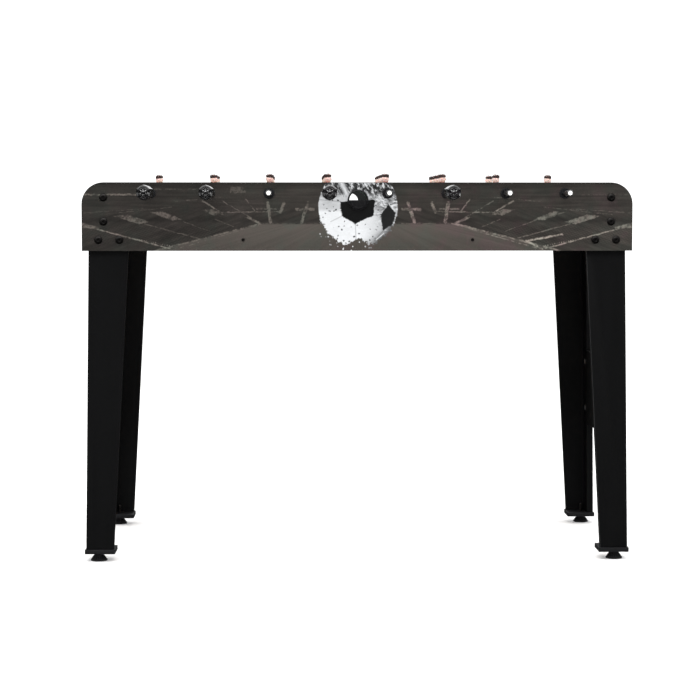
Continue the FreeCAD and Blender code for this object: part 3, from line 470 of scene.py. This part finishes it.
def hairPlastic(name):
    # dark hair with brown strands
    finish = Finish(name)
    strand = finish.noise(520, 4, 0.7, finish.stretched((1, 1, 0.3)))
    color = finish.blend(strand.rise(0.35, 0.7), (0.014, 0.008, 0.007), (0.060, 0.024, 0.020))
    return finish.surface(color, 0.42 + 0.2 * strand, finish.bump(strand, 0.3, 0.0006), gloss=0.35)


def jerseyPlastic(name, color, trim):
    # painted shirt: lighter flecks of the trim colour, creases in the paint
    finish = Finish(name)
    crease = finish.noise(150, 3, 0.6, finish.stretched((1, 1, 0.5)))
    body = finish.blend(crease.rise(0.35, 0.7) * 0.45, color, tuple(c * 0.6 for c in color))
    body = finish.blend(finish.noise(700, 3, 0.7).rise(0.66, 0.76) * 0.5, body, trim)
    return finish.surface(body, 0.3 + 0.2 * crease, finish.bump(crease, 0.18, 0.0006), gloss=0.45)


finishes = {
    "printed_board": stadiumPrint("stadiumPrint"),
    "edge_strip": edgeStrip("edgeStrip"),
    "dark_board": foilBoard("endBoardFoil", 0.014, spread=0.6, shine=0.42, grainSize=60),
    "field_board": pitchBoard("pitchBoard"),
    "raw_board": chipBoard("bareChipBoard"),
    "field_plastic": moulded("rampPlastic", (0.022, 0.16, 0.052), rough=0.36),
    "black_plastic": moulded("mouldedBlack", (0.006, 0.006, 0.007), rough=0.4, grain=1300, depth=0.0004, strength=0.2,
                             spread=0.2, gloss=0.3),
    "dark_steel": plated("blackenedSteel", (0.035, 0.033, 0.032), 0.36, dull=(0.09, 0.08, 0.07)),
    "leg_board": foilBoard("satinLegFoil", 0.0030, spread=0.7, shine=0.46, grainSize=45, color=(0.97, 1.0, 1.09),
                           gloss=0.12),
    # painted highlight: a lighter foil on the eased leg edges, for the light that they catch
    "leg_edge_highlight": foilBoard("legFoilPaintedHighlight", 0.018, spread=0.7, shine=0.42, grainSize=45, color=(0.97, 1.0, 1.05),
                          gloss=0.4),
    "zinc_steel": plated("zincCasting", (0.62, 0.62, 0.64), 0.3),
    "foot_plastic": moulded("footPlastic", (0.009, 0.009, 0.010), rough=0.36, grain=1100, depth=0.0004,
                            strength=0.15),
    "rod_steel": plated("chromeTube", (0.78, 0.79, 0.80), 0.09, streak=(1, 0.05, 1), spread=0.12,
                        dull=(0.55, 0.54, 0.52)),
    "grip_plastic": glossPlastic("gripGloss"),
    "stop_rubber": moulded("stopRubber", (0.013, 0.012, 0.012), rough=0.72, grain=1900, depth=0.0005, strength=0.3,
                           gloss=0.25),
    "plug": moulded("plugWhite", (0.80, 0.79, 0.76), rough=0.34, grain=1200, strength=0.06, spread=0.1),
    "thread": plated("screwThread", (0.050, 0.048, 0.047), 0.34, streak=(1, 1, 0.3), dull=(0.12, 0.11, 0.10)),
    "skin": skinPlastic("skinPlastic"),
    "hair": hairPlastic("hairPlastic"),
    "nearShirt": jerseyPlastic("nearShirt", (0.52, 0.018, 0.014), trim=(0.75, 0.70, 0.66)),
    "farShirt": jerseyPlastic("farShirt", (0.018, 0.065, 0.42), trim=(0.70, 0.72, 0.75)),
    "shorts": jerseyPlastic("shortsWhite", (0.66, 0.65, 0.62), trim=(0.80, 0.79, 0.77)),
    "boot": moulded("bootBlack", (0.016, 0.015, 0.015), rough=0.3),
    "eye": moulded("eyePaint", (0.012, 0.010, 0.010), rough=0.2),
    "lip": moulded("lipPaint", (0.36, 0.07, 0.06), rough=0.35),
    "eyeWhite": moulded("eyeWhitePaint", (0.80, 0.78, 0.75), rough=0.25)}
print("finishes made:", len(finishes))


# shaping
def gather(parts):
    # joins meshes into one, keeping their material indices
    whole = bmesh.new()
    for part in parts:
        carried = bpy.data.meshes.new("carried")
        part.to_mesh(carried)
        part.free()
        whole.from_mesh(carried)
        bpy.data.meshes.remove(carried)
    return whole


def paintAll(mesh, index):
    for face in mesh.faces:
        face.material_index = index
    return mesh


def roundEdges(mesh, width, segments=2, sharp=30, shortest=0.0, material=-1):
    edges = [e for e in mesh.edges if len(e.link_faces) == 2 and e.calc_face_angle(0) > radians(sharp)
             and e.calc_length() > shortest]
    bmesh.ops.bevel(mesh, geom=edges, offset=width, offset_type="OFFSET", affect="EDGES", segments=segments,
                    profile=0.5, clamp_overlap=True, material=material)
    return mesh


def moved(mesh, matrix):
    bmesh.ops.transform(mesh, matrix=matrix, verts=mesh.verts)
    return mesh


def turned(profile, steps, index=0):
    # (radius, along) points turned about Z
    mesh = bmesh.new()
    verts = [mesh.verts.new((radius, 0, along)) for radius, along in profile]
    edges = [mesh.edges.new(pair) for pair in zip(verts, verts[1:])]
    bmesh.ops.spin(mesh, geom=verts + edges, cent=(0, 0, 0), axis=(0, 0, 1), angle=2 * pi, steps=steps,
                   use_merge=True)
    bmesh.ops.remove_doubles(mesh, verts=mesh.verts, dist=1e-4)
    bmesh.ops.recalc_face_normals(mesh, faces=mesh.faces)
    return paintAll(mesh, index)


def block(low, high, lowSpan, highSpan, rounding=0, index=0, segments=2):
    # a tapered block: each span is x from, x to, y from, y to
    mesh = bmesh.new()
    bmesh.ops.create_cube(mesh, size=1)
    for vert in mesh.verts:
        x0, x1, y0, y1 = highSpan if vert.co.z > 0 else lowSpan
        vert.co = (x1 if vert.co.x > 0 else x0, y1 if vert.co.y > 0 else y0, high if vert.co.z > 0 else low)
    if rounding:
        roundEdges(mesh, rounding, segments)
    return paintAll(mesh, index)


def ball(centre, radii, index=0, around=18, up=12):
    mesh = bmesh.new()
    bmesh.ops.create_uvsphere(mesh, u_segments=around, v_segments=up, radius=1)
    bmesh.ops.scale(mesh, vec=radii, verts=mesh.verts)
    bmesh.ops.translate(mesh, vec=centre, verts=mesh.verts)
    return paintAll(mesh, index)


def cone(foot, tip, radius, index, sides):
    # a spike from foot to tip
    run = Vector(tip) - Vector(foot)
    mesh = bmesh.new()
    bmesh.ops.create_cone(mesh, cap_ends=True, segments=sides, radius1=radius, radius2=0, depth=run.length)
    turn = Vector((0, 0, 1)).rotation_difference(run).to_matrix().to_4x4()
    return paintAll(moved(mesh, Matrix.Translation(Vector(foot) + run / 2) @ turn), index)


def setDown(centre, axis=(0, 0, 1)):
    # from millimetres about Z to a place on the table
    turn = Vector((0, 0, 1)).rotation_difference(Vector(axis)).to_matrix().to_4x4()
    return Matrix.Translation(centre) @ turn @ Matrix.Scale(millimetre, 4)


def keep(mesh, name, materials, replaced, sharp=25):
    # one visible piece: it rides the body of the CAD node that it replaces
    for face in mesh.faces:
        face.smooth = True
    for edge in mesh.edges:
        edge.smooth = len(edge.link_faces) == 2 and edge.calc_face_angle(0) < radians(sharp)
    data = bpy.data.meshes.new(name)
    mesh.to_mesh(data)
    mesh.free()
    piece = bpy.data.objects.new(name, data)
    scene.collection.objects.link(piece)
    for material in materials:
        data.materials.append(finishes[material])
    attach(piece, bodyOfNode[replaced])
    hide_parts(replaced)


def cadMesh(node, merge):
    # a CAD node's triangles, joined where their corners meet
    mesh = bmesh.new()
    mesh.from_mesh(frame["nodes"][node].data)
    bmesh.ops.remove_doubles(mesh, verts=mesh.verts, dist=merge)
    return mesh


def solidsOf(node):
    # the lowest and highest corner of each separate solid of a CAD node
    mesh = cadMesh(node, 1e-5)
    waiting, found = set(mesh.verts), []
    while waiting:
        near = [waiting.pop()]
        solid = list(near)
        while near:
            for edge in near.pop().link_edges:
                for vert in edge.verts:
                    if vert in waiting:
                        waiting.discard(vert)
                        near.append(vert)
                        solid.append(vert)
        found.append((Vector([min(v.co[i] for v in solid) for i in range(3)]),
                      Vector([max(v.co[i] for v in solid) for i in range(3)])))
    mesh.free()
    return sorted(found, key=lambda corners: tuple(round(c, 4) for c in corners[0]))


def fitted(node, ending, slot, make):
    # one piece from every solid of a CAD node
    keep(gather([make(low, high) for low, high in solidsOf(node)]), node + ending, [slot], node)


def softened(node, slot, width, shortest):
    # a CAD board or moulding with its long edges eased
    mesh = cadMesh(node, 1e-6)
    bmesh.ops.dissolve_limit(mesh, angle_limit=radians(0.5), verts=mesh.verts, edges=mesh.edges,
                             use_dissolve_boundaries=False)
    wearAndPaintedHighlight = slot == "leg_board"  # painted highlight: the eased edges get a lighter foil, for the light that the rounded edge catches
    roundEdges(mesh, width, shortest=shortest, material=1 if wearAndPaintedHighlight else -1)
    keep(mesh, node + "_eased", [slot, "leg_edge_highlight"] if wearAndPaintedHighlight else [slot], node)


# boards with eased edges, and CAD pieces that only get a finish
eased = {  # CAD node: slot, edge rounding, shortest edge that is eased
    "edge_bands": ("edge_strip", 0.0004, 0.003), "right_end_panel": ("dark_board", 0.0008, 0.004),
    "left_end_panel": ("dark_board", 0.0008, 0.004), "playfield_beams": ("raw_board", 0.0006, 0.02),
    "right_goal_tray": ("black_plastic", 0.001, 0.004), "left_goal_tray": ("black_plastic", 0.001, 0.004),
    "corner_ramps": ("field_plastic", 0.0006, 0.004),
    "front_right_leg": ("leg_board", 0.0011, 0.02), "front_left_leg": ("leg_board", 0.0011, 0.02),
    "rear_right_leg": ("leg_board", 0.0011, 0.02), "rear_left_leg": ("leg_board", 0.0011, 0.02),
    "right_end_rail": ("leg_board", 0.0009, 0.02), "left_end_rail": ("leg_board", 0.0009, 0.02),
    "leg_caps": ("black_plastic", 0.0009, 0.004)}
finished = {  # CAD node: slot
    "front_side_panel": "printed_board", "rear_side_panel": "printed_board", "playfield": "field_board",
    "small_screws": "dark_steel", "rail_pins": "zinc_steel"}
for node, (slot, width, shortest) in eased.items():
    softened(node, slot, width, shortest)
for node, slot in finished.items():
    frame["nodes"][node].data.materials.clear()
    frame["nodes"][node].data.materials.append(finishes[slot])
print("boards done")


# levellers: a bell foot with ribs and a threaded stem, in millimetres
leveller = {"pitch": 1.25, "threadFrom": 13.4, "threadTo": 45.5, "outer": 4.0, "inner": 3.45,
            "ribs": 18, "ribFrom": 3.2, "ribTo": 11.5,
            "ribFoot": (16.6, 17.9, -0.7, 0.7), "ribTop": (11.2, 12.4, -0.5, 0.5),
            "bell": [(0, 0.6), (13.5, 0.6), (14.5, 0), (17.8, 0), (18.5, 0.8), (18.5, 3.0), (17.6, 3.9), (16.6, 4.3),
                     (14.6, 6.0), (12.9, 8.6), (11.6, 11.4), (11.0, 13.2), (10.2, 13.9), (7.4, 13.9), (7.0, 13.5),
                     (5.2, 13.5), (0, 13.5)]}
for node in ("front_left_leveller", "front_right_leveller", "rear_left_leveller", "rear_right_leveller"):
    low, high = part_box(node)
    thread = [(0, leveller["threadFrom"])]
    level = leveller["threadFrom"]
    while level < leveller["threadTo"] - leveller["pitch"]:
        thread += [(leveller["inner"], level), (leveller["outer"], level + leveller["pitch"] / 2)]
        level += leveller["pitch"]
    thread += [(leveller["inner"] - 0.6, leveller["threadTo"] + 0.4), (0, leveller["threadTo"] + 0.5)]
    ribs = []
    for number in range(leveller["ribs"]):
        rib = block(leveller["ribFrom"], leveller["ribTo"], leveller["ribFoot"], leveller["ribTop"], 0.3)
        ribs.append(moved(rib, Matrix.Rotation(2 * pi * number / leveller["ribs"], 4, "Z")))
    foot = gather([turned(leveller["bell"], 48), turned(thread, 20, 1)] + ribs)
    spot = ((low.x + high.x) / 2, (low.y + high.y) / 2, low.z)
    keep(moved(foot, setDown(spot)), node + "_turned", ["foot_plastic", "thread"], node)
print("levellers done")


# bolts, cams, bearings and ball entries: (radius, along) profiles in millimetres
def onPanel(low, high):
    # at the middle of a piece, on the outer face of its side panel and looking out
    side = -1 if low.y < 0 else 1
    return setDown(((low.x + high.x) / 2, side * panelFace, (low.z + high.z) / 2), (0, side, 0))


bolt = {"head": [(0, 1.3), (3.3, 1.3), (3.5, 2.7), (4.2, 3.0), (6.2, 2.7), (8.1, 1.8), (8.8, 0.9), (9.0, 0.2),
                 (9.0, 0)],
        "shank": [(3.0, 0), (3.0, -26), (2.2, -27.5), (0, -27.5)],
        "socket": [(4.0, 2.6), (3.9, 3.15), (2.75, 3.15), (2.6, 2.9), (2.6, 1.0), (0, 1.0)]}


def makeBolt(low, high):
    one = gather([turned(bolt["head"] + bolt["shank"], 32), turned(bolt["socket"], 6)])
    return moved(one, onPanel(low, high))


fitted("panel_bolts", "_turned", "dark_steel", makeBolt)

cam = {"disc": [(0, -1.6), (1.9, -1.6), (2.3, -0.2), (2.9, 0.15), (5.9, 0.15), (6.3, -0.25), (6.8, -0.25), (7.1, 0.2),
                (7.5, 0), (7.5, -11), (0, -11)],
       "crossLong": 4.6, "crossWide": 0.5, "crossFrom": -1.5, "crossTo": 0.32}


def makeCam(low, high):
    side = 1 if low.x < 0 else -1  # the slotted face looks into the frame
    bars = []
    for a, b in ((cam["crossLong"], cam["crossWide"]), (cam["crossWide"], cam["crossLong"])):
        bar = block(cam["crossFrom"], cam["crossTo"], (-a, a, -b, b), (-a, a, -b, b), 0.2)
        bars.append(moved(bar, Matrix.Rotation(pi / 4, 4, "Z")))
    face = high.x if side > 0 else low.x
    one = gather([turned(cam["disc"], 36)] + bars)
    return moved(one, setDown((face, (low.y + high.y) / 2, (low.z + high.z) / 2), (side, 0, 0)))


fitted("rail_cams", "_cast", "zinc_steel", makeCam)

bearing = {"ring": [(6.62, -21), (8.6, -21), (9.6, -20), (9.6, 0), (12.0, 0), (12.0, 1.5), (11.4, 2.5), (10.7, 3.0),
                    (9.6, 3.0), (9.2, 2.6), (8.8, 2.6), (8.4, 3.2), (7.2, 3.2), (6.62, 2.6), (6.62, -21)],
           "nut": [(9.9, 0.4), (10.6, 0), (12.6, 0), (14.0, 0.9), (14.0, 4.1), (12.6, 5.0), (10.6, 5.0), (9.9, 4.6),
                   (9.9, 0.4)],
           "nutThick": 0.005}


def makeNut(low, high):
    side = 1 if low.y < 0 else -1
    inner = high.y if side > 0 else low.y
    spot = ((low.x + high.x) / 2, inner - side * bearing["nutThick"], (low.z + high.z) / 2)
    return moved(turned(bearing["nut"], 6), setDown(spot, (0, side, 0)))


fitted("rod_bearings", "_turned", "black_plastic",
       lambda low, high: moved(turned(bearing["ring"], 40), onPanel(low, high)))
fitted("bearing_nuts", "_cut", "black_plastic", makeNut)

cup = {"rim": [(19.0, -17), (20.6, -17), (20.8, -1), (23.0, 0), (23.0, 1.4), (22.2, 2.6), (20.9, 3.0), (19.6, 2.5),
               (19.0, 1.4), (19.0, -17)], "bowl": 21.0, "wall": 1.8}


def makeCup(low, high):
    # a quarter of a bowl under a rim, open towards the field
    side = -1 if low.y < 0 else 1
    bowl = ball((0, 0, 0), (cup["bowl"],) * 3, 0, 40, 28)
    for normal in ((0, 0, -1), (0, -1, 0)):
        geometry = bowl.verts[:] + bowl.edges[:] + bowl.faces[:]
        bmesh.ops.bisect_plane(bowl, geom=geometry, plane_co=(0, 0, 0), plane_no=normal, clear_inner=True)
    bmesh.ops.recalc_face_normals(bowl, faces=bowl.faces)
    bmesh.ops.solidify(bowl, geom=bowl.faces[:], thickness=cup["wall"])
    bmesh.ops.recalc_face_normals(bowl, faces=bowl.faces)
    roundEdges(bowl, 0.5, 2, 40)
    where = Matrix.Translation((0, side * panelFace, (low.z + high.z) / 2)) @ Matrix.Scale(millimetre, 4)
    if side > 0:
        where = where @ Matrix.Rotation(pi, 4, "Z")
    rim = moved(turned(cup["rim"], 56), Matrix.Rotation(pi / 2, 4, "X"))
    return moved(gather([bowl, rim]), where)


fitted("ball_entries", "_moulded", "black_plastic", makeCup)
print("fittings done")


# rods, plugs, grips and stops, in millimetres
rod = {"radius": 6.5, "startEdge": 0.5, "endEdge": 0.4, "plugHead": 2.0,
       "plug": [(4.4, -0.2), (4.7, 0.1), (4.6, 0.9), (3.9, 1.7), (2.2, 2.1), (0, 2.2)]}
grip = {"neck": [(6.55, 0), (10.6, 0), (12.2, 1.2), (12.6, 3), (12.6, 8), (11.0, 10), (11.0, 13), (13.4, 16.5),
                 (15.0, 21)],
        "ribs": 7, "ribPitch": 11, "crest": (15.9, 28), "valley": (14.5, 33.5),
        "end": [(16.0, 107.5), (15.2, 110.4), (12.4, 111.9), (11.9, 110.7), (9.0, 112.3), (8.5, 111.2), (5.6, 112.9),
                (5.1, 112.0), (2.6, 113.4), (0, 113.7)],
        "sides": 12, "zigzagFrom": 25, "core": 5,  # the zigzag starts here along the grip, and this far from its axis
        "zigzag": ((111.95, 0.3), (106, 1.4), (0, 1.8)),  # above this level, up and down by this much
        "wide": 1.02, "narrow": 0.97}
stop = {"ring": [(6.6, 0.4), (7.4, 0), (11.6, 0), (13.0, 1.4), (13.0, 5.6), (12.2, 6.4), (12.2, 8.6), (13.0, 9.4),
                 (13.0, 13.6), (11.6, 15), (7.4, 15), (6.6, 14.6), (6.6, 0.4)]}


def makeGrip():
    # ribs run in a zigzag round the grip
    profile = list(grip["neck"])
    for rib in range(grip["ribs"]):
        profile += [(radius, along + rib * grip["ribPitch"]) for radius, along in (grip["crest"], grip["valley"])]
    handle = turned(profile + grip["end"], grip["sides"])
    for vert in handle.verts:
        if vert.co.z > grip["zigzagFrom"] and vert.co.xy.length > grip["core"]:
            corner = round(vert.co.xy.angle_signed(Vector((1, 0))) / (2 * pi / grip["sides"]))
            shift = next(shift for level, shift in grip["zigzag"] if vert.co.z > level)
            vert.co.z += shift * (1 if corner % 2 else -1)
            vert.co.xy *= grip["wide"] if corner % 2 else grip["narrow"]
    bmesh.ops.triangulate(handle, faces=handle.faces[:])
    return roundEdges(handle, 0.2, 1, 14)


for number in range(1, 9):
    name = f"rod_{number}"
    low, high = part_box(name)
    gripLow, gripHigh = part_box(name + "_handle")
    away = 1 if gripLow.y < 0 else -1  # from the handle to the free end
    x, z = (low.x + high.x) / 2, (low.z + high.z) / 2
    length = (high.y - low.y) * 1000 - rod["plugHead"]
    wide, first, last = rod["radius"], rod["startEdge"], rod["endEdge"]
    tube = turned([(0, 0), (wide - first, 0), (wide, first), (wide, length - last), (wide - last, length),
                   (0, length)], 32)
    plug = turned([(radius, length + along) for radius, along in rod["plug"]], 32, 1)
    start = low.y if away > 0 else high.y
    keep(moved(gather([tube, plug]), setDown((x, start, z), (0, away, 0))), name + "_tube", ["rod_steel", "plug"],
         name)
    inner = gripHigh.y if away > 0 else gripLow.y
    keep(moved(makeGrip(), setDown((x, inner, z), (0, -away, 0))), name + "_grip", ["grip_plastic"],
         name + "_handle", sharp=12)
    stops = [moved(turned(stop["ring"], 36), setDown((x, corner.y, z), (0, 1, 0)))
             for corner, _ in solidsOf(name + "_stops")]
    keep(gather(stops), name + "_rubbers", ["stop_rubber"], name + "_stops")
print("rods done")


# men: millimetres from the rod's axis, facing +X
manPaints = ["shirt", "shorts", "skin", "hair", "boot", "eye", "lip", "eyeWhite"]
figure = {
    "sideBlocks": [  # from, to, x and y spans below, and above, rounding, paint, steps; mirrored across the middle
        (-61, -57.6, (-6, 9, 0.6, 8.5), (-6, 8.6, 0.6, 8.5), 0.6, "boot", 2),
        (-57.8, -49.8, (-5.4, 8.0, 0.7, 8.1), (-4.0, 4.4, 0.8, 7.5), 1.3, "boot", 2),
        (-50.6, -37, (-3.7, 3.9, 0.8, 7.2), (-4.7, 4.7, 0.6, 8.1), 1.5, "shirt", 3),
        (-38, -26, (-4.2, 4.2, 0.9, 7.6), (-5.2, 5.2, 0.6, 8.5), 1.5, "skin", 3),
        (-30.5, -13, (-6.0, 6.2, 0.4, 9.2), (-6.9, 6.9, 0.1, 9.0), 1.5, "shorts", 3),
        (4, 16.5, (-3.2, 3.2, 8.2, 12.3), (-3.4, 3.4, 7.4, 12.0), 1.6, "shirt", 3),
        (-13, 5, (-2.2, 2.6, 8.8, 12.0), (-2.6, 2.6, 8.6, 12.0), 1.4, "skin", 3),
        (37.2, 38.1, (6.4, 8.3, 1.3, 4.4), (6.3, 8.0, 1.4, 4.2), 0.3, "hair", 2)],
    "middleBlocks": [(-15, 17.6, (-7.7, 7.7, -9.3, 9.3), (-6.2, 6.6, -10.6, 10.6), 2.4, "shirt", 3),
                     (31.0, 35.4, (7.0, 10.2, -1.5, 1.5), (6.6, 8.4, -0.8, 0.8), 0.7, "skin", 2)],
    "sideBalls": [  # hand, ear, eye, pupil: centre, radii, paint, faces around and up
        ((0.4, 10.4, -14), (2.4, 1.7, 3.0), "skin", 12, 8), ((-0.4, 7.5, 33.6), (1.7, 1.0, 2.5), "skin", 12, 8),
        ((7.35, 2.9, 35.6), (1.0, 1.6, 1.2), "eyeWhite", 12, 8),
        ((8.05, 2.8, 35.5), (0.55, 0.75, 0.8), "eye", 10, 6)],
    "mouth": ((7.15, 0, 29.4), (0.7, 2.1, 0.6), "lip", 12, 6),
    "collar": [(0, 15), (5.9, 15), (6.1, 17.4), (5.5, 18.8), (4.9, 18.9), (0, 18.9)],
    "neck": [(0, 16), (4.8, 16), (4.5, 21), (4.9, 27), (0, 27)],
    "head": ((8.0, 7.2, 10.2), (0.2, 0, 33.6)), "cap": ((8.3, 7.6, 7.6), (-0.1, 0, 35.8)),  # radii, centre
    "square": 0.78, "jaw": 0.22,  # below 1 the skull is squarer; how much narrower the jaw is
    "capFrom": 0.10, "capLean": -0.1,
    "spikeStep": (2.3, 2.8), "spikeRadius": 2.0, "spikeTall": 4.2, "spikeVaries": 2.2, "spikeShorter": 0.02,
    "spikeLean": (0.03, 0.05), "stagger": 0.4, "hairline": (8.2, 7.2), "crown": 40.6, "crownFall": 0.03}


def makeMan():
    parts = []
    paint = manPaints.index
    for side in (-1, 1):
        for low, high, foot, top, rounding, name, steps in figure["sideBlocks"]:
            if side < 0:
                foot, top = ((x0, x1, -y1, -y0) for x0, x1, y0, y1 in (foot, top))
            parts.append(block(low, high, foot, top, rounding, paint(name), steps))
        for (x, y, z), radii, name, around, up in figure["sideBalls"]:
            parts.append(ball((x, side * y, z), radii, paint(name), around, up))
    for low, high, foot, top, rounding, name, steps in figure["middleBlocks"]:
        parts.append(block(low, high, foot, top, rounding, paint(name), steps))
    centre, radii, name, around, up = figure["mouth"]
    parts.append(ball(centre, radii, paint(name), around, up))
    parts += [turned(figure["collar"], 20, paint("shirt")), turned(figure["neck"], 20, paint("skin"))]

    for part, name in (("head", "skin"), ("cap", "hair")):
        radii, centre = figure[part]
        skull = ball((0, 0, 0), (1, 1, 1), paint(name), 24, 16)
        for vert in skull.verts:
            vert.co = [(1 if c > 0 else -1) * abs(c) ** figure["square"] for c in vert.co]
            if part == "head":
                vert.co.y *= 1 - figure["jaw"] * max(0, -vert.co.z) ** 1.5
        if part == "cap":
            geometry = skull.verts[:] + skull.edges[:] + skull.faces[:]
            cutAt = bmesh.ops.bisect_plane(skull, geom=geometry, plane_co=(0, 0, figure["capFrom"]),
                                           plane_no=(figure["capLean"], 0, 1), clear_inner=True)
            bmesh.ops.holes_fill(skull, edges=[e for e in cutAt["geom_cut"] if isinstance(e, bmesh.types.BMEdge)])
        parts.append(moved(skull, Matrix.Translation(centre) @ Matrix.Diagonal((*radii, 1))))

    for row in range(-3, 4):  # short hair standing up in spikes of nearly one height
        for column in range(-2, 3):
            x, y = row * figure["spikeStep"][0] + figure["stagger"] * (column % 2), column * figure["spikeStep"][1]
            if (x / figure["hairline"][0]) ** 2 + (y / figure["hairline"][1]) ** 2 > 1:
                continue
            lean = Vector((x * figure["spikeLean"][0], y * figure["spikeLean"][1], 1))
            tall = figure["spikeTall"] + figure["spikeVaries"] * ((row * 3 + column * 5) % 4) / 3
            tall -= figure["spikeShorter"] * (x * x + y * y)
            fall = figure["crownFall"]
            root = Vector((x, y, figure["crown"] - fall * x * x - fall * y * y))
            parts.append(cone(root, root + lean * tall, figure["spikeRadius"], paint("hair"), 6))
    return gather(parts)


man = makeMan()
print("man has", len(man.faces), "faces")
for number in range(1, 9):
    name = f"rod_{number}_players"
    tubeLow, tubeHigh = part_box(f"rod_{number}")
    x, z = tubeLow.x + rod["radius"] / 1000, (tubeLow.z + tubeHigh.z) / 2
    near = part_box(f"rod_{number}_handle")[0].y < 0
    turn = Matrix.Rotation(0 if near else pi, 4, "Z")
    team = []
    for low, high in solidsOf(name):
        spot = Matrix.Translation((x, (low.y + high.y) / 2, z)) @ turn @ Matrix.Scale(millimetre, 4)
        team.append(moved(man.copy(), spot))
    shirt = "nearShirt" if near else "farShirt"
    keep(gather(team), f"rod_{number}_men", [shirt] + manPaints[1:], name,
         sharp=40)
man.free()
print("men done")


# room, lights and camera
room = {"floorSize": 30, "skyForShade": 1.42, "skyTop": 0.8, "skyMiddle": 0.10, "skyLow": 0.04, "floorGlow": 0.10}
world = bpy.data.worlds.new("studio")
scene.world = world
sky = Finish("studio", world)
height = sky.split(sky.add("ShaderNodeTexCoord", output=0))[2]
seen = sky.add("ShaderNodeLightPath", output=3)  # glossy rays see the lamps and a graded room
graded = room["skyLow"] + (room["skyMiddle"] - room["skyLow"]) * height.rise(-0.25, 0.1)
graded = graded + (room["skyTop"] - room["skyMiddle"]) * height.rise(0.24, 0.46)
strength = room["skyForShade"] + (graded - room["skyForShade"]) * seen
light = sky.add("ShaderNodeBackground", {}, {"Color": (1, 1, 1), "Strength": strength})
sky.add("ShaderNodeOutputWorld", {}, {"Surface": light})

floorMesh = bmesh.new()
bmesh.ops.create_grid(floorMesh, x_segments=4, y_segments=4, size=room["floorSize"] / 2)
floorData = bpy.data.meshes.new("studioFloor")
floorMesh.to_mesh(floorData)
floorMesh.free()
studioFloor = bpy.data.objects.new("studioFloor", floorData)
scene.collection.objects.link(studioFloor)
floorPaint = Finish("studioPaper")
floorData.materials.append(floorPaint.surface(
    floorPaint.tint(0.93 + 0.02 * floorPaint.noise(0.8, 3), (1, 1, 1)), 0.9, gloss=0.0,
    Emission_Color=(1, 1, 1), Emission_Strength=room["floorGlow"]))
studioFloor.visible_glossy = False

lamps = {  # place, what it looks at, width, height, power
    "overhead": ((0.0, -0.6, 3.2), (0, 0, 0.8), 3.0, 1.6, 52),
    "frontHigh": ((-0.3, -3.3, 3.3), (0, 0, 0.8), 2.8, 1.1, 44),
    "frontLeft": ((-2.6, -3.4, 2.2), (0, 0, 0.6), 1.2, 1.6, 14),
    "rightSide": ((3.4, -1.0, 1.6), (0.3, 0, 0.5), 1.0, 1.8, 12),
    "behind": ((0.0, 3.2, 2.4), (0, 0, 0.7), 2.4, 1.2, 16)}
for name, (spot, target, width, tall, power) in lamps.items():
    lamp = bpy.data.lights.new(name, "AREA")
    lamp.shape, lamp.size, lamp.size_y, lamp.energy = "RECTANGLE", width, tall, power
    holder = bpy.data.objects.new(name, lamp)
    holder.location = spot
    holder.visible_glossy = name != "overhead"
    holder.rotation_euler = (Vector(target) - Vector(spot)).to_track_quat("-Z", "Y").to_euler()
    scene.collection.objects.link(holder)

view = {"place": (-0.1382, -4.7316, 0.7853), "lens": 103.55, "down": 4.04, "right": 1.56}
camera = bpy.data.objects.new("camera", bpy.data.cameras.new("camera"))
camera.data.lens, camera.data.sensor_width = view["lens"], 36
camera.data.clip_end = 100
camera.location = view["place"]
camera.rotation_euler = (radians(90 - view["down"]), 0, radians(-view["right"]))
scene.collection.objects.link(camera)
scene.camera = camera
scene.view_settings.view_transform = "Standard"
print("room done")
